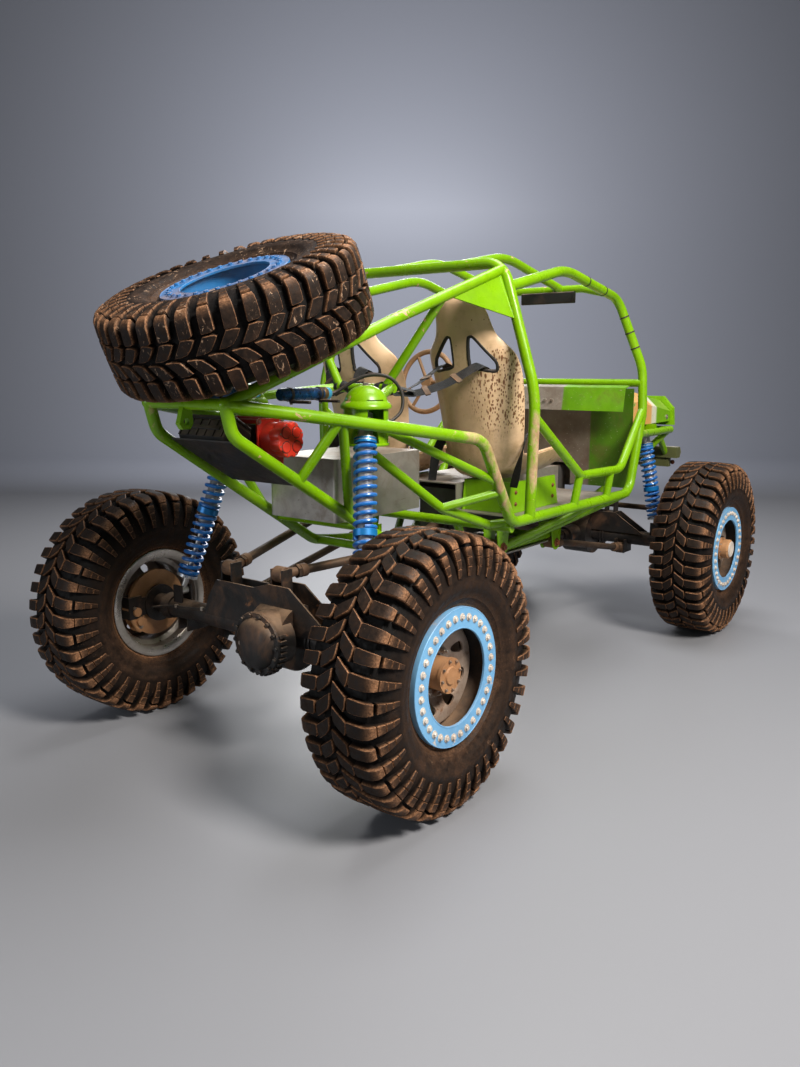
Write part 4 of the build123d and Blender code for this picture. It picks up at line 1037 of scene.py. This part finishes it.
# red frame plates and tie bars
for y in (-0.122, 0.113):
    winch.slab([(-0.070, -0.058), (0.052, -0.125), (0.064, -0.105), (0.066, 0.060), (0.052, 0.076), (-0.056, 0.076), (-0.070, 0.060)], 0.009, Matrix(((1, 0, 0, WX + RX), (0, 0, 1, y), (0, 1, 0, WZ), (0, 0, 0, 1))), 0)
for dx, dz in ((-0.062, 0.066), (0.056, 0.066), (-0.062, -0.046)):
    winch.rod(P(WX + dx, -0.126, WZ + dz), P(WX + dx, 0.126, WZ + dz), 0.0095, 18, 0)
    for y, ax in ((-0.1225, (0, -1, 0)), (0.1225, (0, 1, 0))):
        winch.bolt(P(WX + dx, y, WZ + dz), ax, 0.008, 0.006, 3, True, 0.3)
winch.make("winch_unit", "chassis", [red, black, rubber, zinc], ["winch"], "winch_red")

# control box folded from sheet, on the tray in the slope of the tail rails
slope = math.atan2(0.560, 0.910)
tray_mx = Matrix.Translation(P(-0.290, 0, 1.2973 + 0.006)) @ Matrix.Rotation(slope, 4, "Y")
box = Shape()
box.box((0.006, -0.110, 0.004), (0.122, 0.172, 0.098), 0, 0.014, tray_mx)
box.box((0.014, -0.100, 0.096), (0.112, 0.162, 0.112), 0, 0.008, tray_mx)
for i in range(6):
    y = -0.085 + i * 0.047
    box.box((0.0015, y, 0.018), (0.0065, y + 0.010, 0.088), 0, 0.002, tray_mx)
box.box((0.000, -0.060, 0.046), (0.0066, 0.120, 0.062), 0, 0.002, tray_mx)
for y in (-0.088, 0.150):
    box.bolt(tray_mx @ Vector((0.030, y, 0.112)), tray_mx.to_3x3() @ Vector((0, 0, 1)), 0.005, 0.004, 1, True)
    box.bolt(tray_mx @ Vector((0.090, y, 0.112)), tray_mx.to_3x3() @ Vector((0, 0, 1)), 0.005, 0.004, 1, True)
box.make("winch_control_box", "chassis", [plastic, zinc], (), "black_plastic")

# ------------------------------------------------------------------ reservoirs
res = Shape()
for s in (1, -1):
    mx = look(P(-0.090, s * 0.200, 1.466), (1, 0, 0))
    res.turned([(0, 0.019), (0.003, 0.0225), (0.020, 0.024), (0.226, 0.024), (0.228, 0.0232)], mx, 36, 0)
    for h in (0.03, 0.075, 0.12, 0.165, 0.21):
        res.revolve([(h, 0.0241), (h + 0.001, 0.0246), (h + 0.005, 0.0246), (h + 0.006, 0.0241)], mx, 36, 0)
    res.revolve([(0.226, 0.0240), (0.228, 0.0248), (0.246, 0.0248), (0.248, 0.0240)], mx, 36, 1)
    res.turned([(0.247, 0.0235), (0.249, 0.0242), (0.264, 0.0242), (0.268, 0.0220), (0.270, 0.0150)], mx, 36, 2)
    for x in (-0.040, 0.120):
        c = look(P(x - 0.007, s * 0.200, 1.466), (1, 0, 0))
        res.revolve([(0, 0.0243), (0, 0.0262), (0.001, 0.0268), (0.013, 0.0268), (0.014, 0.0262), (0.014, 0.0243)], c, 36, 3)
        res.box(P(x - 0.007, min(s * 0.206, s * 0.310), 1.4335), P(x + 0.007, max(s * 0.206, s * 0.310), 1.4445), 3, 0.002)
        res.bolt(P(x, s * 0.212, 1.4335), (0, 0, -1), 0.005, 0.004, 4, True)
brass = worn("brass_ring", lin(150, 122, 84), lin(112, 86, 56), None, dust_and_painted_light=0.2, rough=(0.3, 0.5), metal=0.8)
deep_blue = worn("reservoir_blue", lin(28, 84, 140), lin(18, 48, 84), lin(20, 24, 30), (0.52, 0.6), 30, 0.25, rough=(0.22, 0.42), metal=0.5)
pale_blue = worn("cap_blue", lin(90, 190, 236), lin(60, 156, 214), None, dust_and_painted_light=0.15, rough=(0.2, 0.38), metal=0.55)
res.make("reservoir_pair", "chassis", [deep_blue, brass, pale_blue, black, zinc], ["reservoirs"], "spring_blue")

HOSE = ((0.1815, 0.200, 1.466), (0.222, 0.203, 1.471), (0.298, 0.284, 1.531), (0.356, 0.362, 1.528), (0.392, 0.398, 1.470), (0.382, 0.408, 1.402), (0.345, 0.396, 1.364), (0.318, 0.386, 1.356))
hoses = Shape()
for s_ in (1, -1):
    way = [P(x, s_ * y, z) for x, y, z in spline(HOSE, 90)]
    hoses.tube(way, 0.0068, 12, 0)
    for i in (0, len(way) - 3):
        d = way[i + 1] - way[i]
        hexa = [(0.0115 * math.cos(math.pi / 3 * j), 0.0115 * math.sin(math.pi / 3 * j)) for j in range(6)]
        hoses.slab(hexa, 0.016, look(way[i] - d.normalized() * 0.002, d), 1)
hoses.make("damper_hose_pair", "chassis", [rubber, zinc], ["damper_hoses"], "black_plastic")

# lips and bolts on the shock towers
tower = Shape()
for s_ in (1, -1):
    m = look(P(0.236, s_ * 0.344, 1.268), (0, 0, 1))
    tower.revolve([(0.148, 0.0875), (0.140, 0.0930), (0.141, 0.0985), (0.146, 0.1005), (0.152, 0.1000), (0.160, 0.0950), (0.168, 0.0880), (0.172, 0.0840)], m, 56, 0)
    tower.revolve([(0.000, 0.0870), (-0.002, 0.0905), (0.003, 0.0925), (0.009, 0.0905), (0.010, 0.0870)], m, 56, 0)
    tower.bolt(P(0.236, s_ * 0.344, 1.4955), (0, 0, 1), 0.012, 0.010, 1, True)
tower.make("tower_lips", "chassis", [lime, zinc], (), "cage_paint")

# dark joint rings on the right front pillar and roof rail
RING_R = 0.0262
rings = Shape()
for a, b, marks in (((2.285, -0.600, 1.560), (2.195, -0.480, 1.930), (0.30, 0.52, 0.74)), ((2.195, -0.480, 1.930), (1.640, -0.450, 2.040), (0.30, 0.62)),
                    ((2.285, 0.600, 1.560), (2.195, 0.480, 1.930), (0.30, 0.52, 0.74))):
    a, b = P(*a), P(*b)
    for t in marks:
        rings.revolve([(-0.0040, 0.0235), (-0.0034, RING_R), (0.0034, RING_R), (0.0040, 0.0235)], look(a.lerp(b, t), b - a), 28, 0)
rings.make("joint_rings", "chassis", [black], (), "black_plastic")

# ------------------------------------------------------------------ running gear details
gear = Shape()
# differential cover with its ring of bolts and a notched girdle
for x0, sx, y0 in ((-0.160, -1, -0.112), (2.839 + 0.160, 1, 0.0)):
    mx = look(P(x0, y0, AXLE_Z), (sx, 0, 0))
    gear.turned([(-0.016, 0.124), (-0.004, 0.126), (0.002, 0.122), (0.004, 0.104), (0.016, 0.098), (0.030, 0.080), (0.038, 0.050), (0.040, 0.020)], mx, 56, 0)
    for i in range(14):
        a = 2 * math.pi * (i + 0.5) / 14
        gear.bolt(mx @ Vector((0.113 * math.cos(a), 0.113 * math.sin(a), 0.003)), (sx, 0, 0), 0.0085, 0.008, 3, True, i)
    for i in range(22):
        a = math.radians(70 + 220 * i / 21)
        c = mx @ Matrix.Rotation(a, 4, "Z")
        gear.box((0.121, -0.007, -0.040), (0.134, 0.007, -0.006), 0, 0.002, c)
    gear.turned([(0.038, 0.012), (0.046, 0.012), (0.048, 0.010)], mx @ Matrix.Translation((0.0, 0.055, -0.012)), 6, 1)
# round ribs and weld beads along the tubes
for xa, d0 in ((0.0, -0.112), (2.839, 0.0)):
    for s_ in (1, -1):
        for y in (d0 + s_ * 0.150, d0 + s_ * 0.168):
            gear.revolve([(-0.006, 0.046), (-0.005, 0.0505), (0, 0.0520), (0.005, 0.0505), (0.006, 0.046)], look(P(xa, y, AXLE_Z), (0, 1, 0)), 32, 0)
        y = s_ * 0.590
        gear.revolve([(-0.012, 0.044), (-0.010, 0.052), (0.010, 0.054), (0.030, 0.060), (0.034, 0.050)], look(P(xa, y, AXLE_Z), (0, s_, 0)), 32, 0)
# brake lines along the tubes
for xa in (0.0, 2.839):
    sx = -1 if xa < 1 else 1
    for s_ in (1, -1):
        way = spline(((xa + sx * 0.01, s_ * 0.21, 0.566), (xa + sx * 0.038, s_ * 0.30, 0.550), (xa + sx * 0.046, s_ * 0.42, 0.538), (xa + sx * 0.050, s_ * 0.53, 0.530), (xa + sx * 0.062, s_ * 0.60, 0.520), (xa + sx * 0.082, s_ * 0.645, 0.512)), 36)
        gear.tube([P(*q) for q in way], 0.0042, 8, 2)
        for q in (way[10], way[20]):
            gear.box(P(q[0] - 0.008, q[1] - 0.006, q[2] - 0.008), P(q[0] + 0.008, q[1] + 0.006, q[2] + 0.008), 1, 0.002)
gear.make("axle_fittings", "chassis", [axle_mat, zinc, rubber, black], (), "axle_paint")

# link ends: bush housings with bolts through them, lock nuts and sleeves
LINKS = (((0, 0.202, 0.738), (0.850, 0.400, 0.868)), ((0, -0.095, 0.752), (0.552, -0.190, 0.764)),
         ((0.052, 0.500, 0.444), (1.126, 0.400, 0.726)), ((0.052, -0.500, 0.444), (1.126, -0.400, 0.726)),
         ((2.839, 0.202, 0.738), (2.134, 0.230, 0.766)), ((2.839, -0.202, 0.738), (2.134, -0.230, 0.766)),
         ((2.787, 0.300, 0.444), (1.790, 0.330, 0.640)), ((2.787, -0.300, 0.444), (1.790, -0.330, 0.640)))
ends = Shape()
for a, b in LINKS:
    a, b = P(*a), P(*b)
    d = (b - a).normalized()
    for p, q in ((a, d), (b, -d)):
        m = look(p - Vector((0, 0.0265, 0)), (0, 1, 0), q)
        ends.turned([(0, 0.030), (0.002, 0.033), (0.051, 0.033), (0.053, 0.030)], m, 32, 0)
        ends.revolve([(-0.002, 0.012), (-0.002, 0.024), (0.001, 0.025), (0.001, 0.030)], m, 24, 2)
        ends.revolve([(0.052, 0.030), (0.052, 0.025), (0.055, 0.024), (0.055, 0.012)], m, 24, 2)
        n = look(p + q * 0.036, q)
        ends.turned([(0, 0.021), (0.034, 0.019)], n, 24, 0)
        hexa = [(0.029 * math.cos(math.pi / 3 * i), 0.029 * math.sin(math.pi / 3 * i)) for i in range(6)]
        ends.slab(hexa, 0.016, look(p + q * 0.072, q), 1)
        ends.turned([(0.088, 0.0245), (0.090, 0.0275), (0.118, 0.0275), (0.122, 0.0255)], look(p, q), 28, 0)
ends.make("link_ends", "chassis", [link_brown, steel, rubber], (), "link_steel")

# brake calipers over the discs, on the axle behind and on the knuckles in front
for name, centre, out, up, body, spin in WHEELS[:4]:
    o = Vector(out)
    host = "chassis" if name.startswith("rear") else ("left_steer" if name.endswith("left") else "right_steer")
    cal = Shape()
    base = Matrix.Translation(Vector(centre)) @ look((0, 0, 0), o, (-0.94, 0, -0.34))
    for z0, z1, r0, r1 in ((-0.1120, -0.0935, 0.096, 0.164), (-0.0685, -0.0550, 0.096, 0.164)):
        rows = []
        for z, ins in ((z0, 0.004), (z0 + 0.004, 0), (z1 - 0.004, 0), (z1, 0.004)):
            ring = []
            for i in range(13):
                a = math.radians(-27 + 54 * i / 12)
                ring.append(((r1 - ins) * math.cos(a), (r1 - ins) * math.sin(a), z))
            for i in range(12, -1, -1):
                a = math.radians(-23 + 46 * i / 12)
                ring.append(((r0 + ins) * math.cos(a), (r0 + ins) * math.sin(a), z))
            rows.append(ring)
        cal.grid(rows, 0, True, wrap_v=True, mx=base)
        k = len(rows[0])
        cal.add(rows[0], [list(range(k))[::-1]], 0, True, None, base)
        cal.add(rows[-1], [list(range(k))], 0, True, None, base)
    for a in (-20, 20):
        m = base @ Matrix.Rotation(math.radians(a), 4, "Z")
        cal.box((0.1545, -0.013, -0.110), (0.166, 0.013, -0.057), 0, 0.004, m)
        cal.bolt(m @ Vector((0.140, 0, -0.112)), -o, 0.008, 0.008, 1, True)
    for a in (-11, 11):
        m = base @ Matrix.Rotation(math.radians(a), 4, "Z")
        cal.turned([(0, 0.021), (-0.008, 0.0215), (-0.013, 0.019), (-0.014, 0.010)], m @ Matrix.Translation((0.128, 0, -0.111)), 24, 0)
    cal.make(name + "_caliper", host, [hub_tan, zinc], (), "hub_iron")

# rounded lugs under the belly rail that hold the lower links, with their bolts
lugs = Shape()
for x, y, z, up_ in ((1.126, 0.400, 0.726, 0.115), (1.790, 0.330, 0.640, 0.110)):
    for s_ in (1, -1):
        for off in (-0.040, 0.034):
            pts = [(0.040 * math.cos(math.radians(t)), 0.040 * math.sin(math.radians(t))) for t in range(180, 361, 12)] + [(0.052, up_ * 0.6), (0.060, up_), (-0.060, up_), (-0.052, up_ * 0.6)]
            m = Matrix(((1, 0, 0, x + RX), (0, 0, 1, s_ * y + off), (0, 1, 0, z), (0, 0, 0, 1)))
            lugs.slab(pts, 0.006, m, 0)
        for off, ax in ((-0.040, -1), (0.040, 1)):
            lugs.bolt(P(x, s_ * y + off, z), (0, ax, 0), 0.0155, 0.012, 1, True, 0.4)
lugs.make("link_lugs", "chassis", [lime, rust], (), "cage_paint")

# ------------------------------------------------------------------ small fittings
fit = Shape()
# hood pins along both shoulders, bolts on the nose panel
for x, half, shoulder in ((2.36, 0.4274, 1.386), (2.76, 0.428, 1.350), (3.16, 0.4086, 1.300)):
    for s_ in (1, -1):
        m = look(P(x, s_ * half, shoulder - 0.045), (0, s_, 0))
        fit.turned([(-0.002, 0.016), (0.002, 0.016), (0.0034, 0.0145), (0.0034, 0.008), (0.0060, 0.0075), (0.0068, 0.006)], m, 24, 0)
for y in (-0.34, -0.17, 0.0, 0.17, 0.34):
    fit.bolt(P(3.262, y, 1.255), (1, 0, 0), 0.007, 0.005, 0, True, y)
# bumper bolts
for y in (-0.40, -0.20, 0.0, 0.20, 0.40):
    for z in (0.950, 1.030):
        fit.bolt(P(3.322, y, z), (1, 0, 0), 0.010, 0.008, 1, True, y * 7)
# round gauges and switches on the dash, facing the seats, their faces bare
for y, r in ((0.20, 0.030), (0.285, 0.030), (0.47, 0.024), (0.525, 0.024)):
    m = look(P(2.1402, y, 1.412), (-1, 0, 0))
    fit.turned([(-0.002, r), (0.006, r), (0.008, r - 0.002), (0.008, r - 0.006), (0.004, r - 0.007)], m, 32, 2)
    fit.turned([(0.002, r - 0.007), (0.0045, r - 0.007)], m, 28, 3)
for i in range(5):
    y = -0.13 + i * 0.045
    m = look(P(2.1402, y, 1.385), (-1, 0, 0))
    fit.turned([(-0.001, 0.009), (0.004, 0.009), (0.005, 0.007)], m, 16, 0)
    fit.rod(P(2.1370, y, 1.385), P(2.120, y, 1.392), 0.003, 10, 0)
# bolts that hold the floor and the seat boxes
for cy, back in ((-0.272, 0.0), (0.290, -0.150)):
    for z in (0.93, 0.985):
        for x in (1.18, 1.36, 1.54):
            y = -0.470 if cy < 0 else 0.470
            fit.bolt(P(x + back * 0.5, y, z), (0, -1 if cy < 0 else 1, 0), 0.007, 0.005, 1, True, x)
fit.make("small_fittings", "chassis", [zinc, rust, black, pale_metal], (), "black_plastic")

# ------------------------------------------------------------------ panels with more than one colour
def split_panel(name, edge, inner, inner2, outer, outer2, soft=0.006, metal=0.3):
    """Inner colour to the left of edge (in y), outer colour beyond it."""
    k = Mat(name)
    x, y, z = k.xyz()
    f = k.ramp(y, edge + soft, edge - soft)
    a = k.mix(k.ramp(k.noise(5, 6, 0.6), 0.35, 0.7), inner, inner2)
    b = k.mix(k.ramp(k.noise(4, 6, 0.6), 0.35, 0.7), outer, outer2)
    col = k.mix(f, a, b)
    g = k.calc("MULTIPLY", k.ramp(k.noise(7, 8, 0.7, 0.5), 0.46, 0.74), 0.5)
    col = k.mix(g, col, DIRT)
    marks = k.calc("MULTIPLY", k.ramp(k.noise(60, 3, 0.6, 0.3, k.scaled(0.25, 1.0, 2.2, (0.3, 0.5, 0.2))), 0.66, 0.72), 0.5)
    col = k.mix(marks, col, lin(200, 190, 176))
    k.set(Base_Color=col, Roughness=k.ramp(k.noise(14, 6), 0.3, 0.7, 0.36, 0.62), IOR=1.5)
    k.b.inputs["Metallic"].default_value = metal
    k.link(k.bump(k.noise(2.6, 3), 0.2, 0.012, k.bump(k.noise(180, 2), 0.05, 0.001)), k.b.inputs["Normal"])
    return k.m


dash_mat = split_panel("dash_paint", -0.19, lin(156, 150, 142), lin(128, 118, 108), lin(112, 170, 14), lin(90, 144, 8), metal=0.1)
fire_mat = split_panel("firewall_paint", -0.32, lin(122, 112, 100), lin(92, 78, 66), lin(78, 124, 12), lin(60, 98, 8), metal=0.1)


def hood_material():
    k = Mat("hood_paint")
    x, y, z = k.xyz()
    col = k.mix(k.ramp(k.noise(2.6, 4), 0.35, 0.7), lin(122, 178, 16), lin(98, 152, 8))
    # a plain faded patch on the right shoulder, orange with a white border, worn through in places
    zone = k.calc("MULTIPLY", k.ramp(x, RX + 2.34, RX + 2.36), k.ramp(x, RX + 2.98, RX + 2.95))
    side = k.ramp(y, -0.20, -0.23)
    keep = k.ramp(k.noise(16, 8, 0.68), 0.66, 0.58)
    white = k.calc("MULTIPLY", k.calc("MULTIPLY", zone, side), keep)
    inner = k.calc("MULTIPLY", k.calc("MULTIPLY", k.ramp(x, RX + 2.42, RX + 2.44), k.ramp(x, RX + 2.90, RX + 2.86)), k.calc("MULTIPLY", k.ramp(y, -0.25, -0.28), keep))
    col = k.mix(k.calc("MULTIPLY", white, 0.85), col, lin(226, 220, 204))
    col = k.mix(k.calc("MULTIPLY", inner, 0.9), col, k.mix(k.noise(9, 4), lin(226, 140, 48), lin(206, 172, 92)))
    d = k.calc("MULTIPLY", k.calc("MULTIPLY", k.up(), k.ramp(k.noise(7, 7, 0.65), 0.3, 0.75)), 0.4)
    col = k.mix(d, col, DUST)
    k.set(Base_Color=col, Roughness=k.ramp(k.noise(14, 6), 0.3, 0.7, 0.3, 0.52), IOR=1.5)
    k.link(k.bump(k.noise(3.0, 3), 0.2, 0.01, k.bump(k.noise(200, 2), 0.05, 0.001)), k.b.inputs["Normal"])
    return k.m


hood_mat = hood_material()
tank = worn("tank_alloy", lin(186, 180, 172), lin(132, 124, 114), lin(80, 60, 46), (0.62, 0.72), 8, 0.3, rough=(0.3, 0.55), metal=0.7, scratch=0.6, grime=0.55)
rim_leather = worn("wheel_leather", lin(150, 116, 82), lin(110, 80, 56), lin(60, 46, 38), (0.62, 0.7), 26, 0.2, rough=(0.5, 0.75), grime=0.3, pits=(220, 0.12))

# ------------------------------------------------------------------ finish on CAD nodes
FINISH = {
    "main_hoop": lime_hoop, "side_frames": lime_rail, "roof_bars": lime, "rear_frame": lime, "rear_tow_ear": lime, "shock_towers": lime, "cage_gussets": lime,
    "belly_frame": lime, "front_frame": lime, "spare_carrier": lime, "skid_plate": bare, "floor_pan": bare, "firewall": fire_mat, "dash_panel": dash_mat,
    "seat_frames": lime_panel, "hood": hood_mat, "nose_panel": lime_panel, "front_bumper": bumper_with_highlight_mat, "front_tow_ears": lime, "steering_wheel": rim_leather, "steering_column": black,
    "mirror": plastic, "engine_block": cast, "gearbox": cast, "driveshafts": steel, "rear_axle": axle_mat, "front_axle": axle_mat,
    "suspension_links": steel, "coilovers": damper, "fuel_cell": tank, "winch_tray": black, "winch": red, "left_knuckle": axle_mat, "right_knuckle": axle_mat,
    "tie_rod": steel, "rear_left_hub": hub_tan, "rear_right_hub": hub_tan, "front_left_hub": hub_tan, "front_right_hub": hub_tan,
}
for name, ob in nodes.items():
    mat = FINISH.get(name)
    if mat is not None:
        ob.data.materials.clear()
        ob.data.materials.append(mat)

# ------------------------------------------------------------------ stage, light, camera
back = Vector((0.788, 0.616, 0.0))
side = Vector((-0.616, 0.788, 0.0))
line = [(-30.0, 0.0), (11.0, 0.0)] + [(11.0 + 5.0 * math.sin(math.radians(t)), 5.0 - 5.0 * math.cos(math.radians(t))) for t in range(6, 91, 6)] + [(16.0, 14.0)]
sweep = Shape()
sweep.grid([[back * d + side * q + Vector((0, 0, h)) for q in (-40.0, 40.0)] for d, h in line], 0, True)
floor = sweep.mesh("floor", [], 0)
floor_ob = bpy.data.objects.new("floor", floor)
bpy.context.scene.collection.objects.link(floor_ob)
fm = Mat("floor_pale")
fm.set(Base_Color=lin(136, 137, 142), Roughness=0.42)
floor.materials.append(fm.m)

world = bpy.data.worlds.new("studio")
bpy.context.scene.world = world
world.use_nodes = True
world.node_tree.nodes["Background"].inputs[0].default_value = (0.80, 0.84, 0.90, 1)
world.node_tree.nodes["Background"].inputs[1].default_value = 0.11


def area(name, at, to, size, power, color=(1, 1, 1)):
    li = bpy.data.lights.new(name, "AREA")
    li.shape = "RECTANGLE"
    li.size, li.size_y = size
    li.energy = power
    li.color = color
    ob = bpy.data.objects.new(name, li)
    bpy.context.scene.collection.objects.link(ob)
    ob.location = at
    ob.rotation_euler = (Vector(to) - Vector(at)).to_track_quat("-Z", "Y").to_euler()
    return ob


area("key", (-1.8, -4.6, 5.2), (0.0, 0.0, 0.8), (1.7, 1.7), 620, (1.0, 0.95, 0.88))
area("top", (0.6, -0.4, 6.2), (0.0, 0.0, 0.8), (3.4, 2.6), 240)
area("fill", (-6.4, 1.6, 2.0), (0.0, 0.0, 0.8), (3.0, 2.6), 70, (0.90, 0.95, 1.0))
area("rim", (4.6, 4.0, 3.4), (0.0, 0.0, 1.0), (3.0, 2.4), 210)
area("backdrop", (5.5, 4.6, 5.2), (12.5, 9.6, 4.0), (6.0, 3.0), 950, (0.90, 0.94, 1.06))

cam = bpy.data.cameras.new("camera")
cam.lens = 30.106
cam.sensor_width = 36
cam_ob = bpy.data.objects.new("camera", cam)
bpy.context.scene.collection.objects.link(cam_ob)
cam_ob.location = (-3.81667, -2.60742, 1.56399)
cam_ob.rotation_euler = (math.radians(79.4887), 0, math.radians(-52.0742))
bpy.context.scene.camera = cam_ob
bpy.context.scene.view_settings.view_transform = "Standard"
bpy.context.scene.view_settings.look = "None"
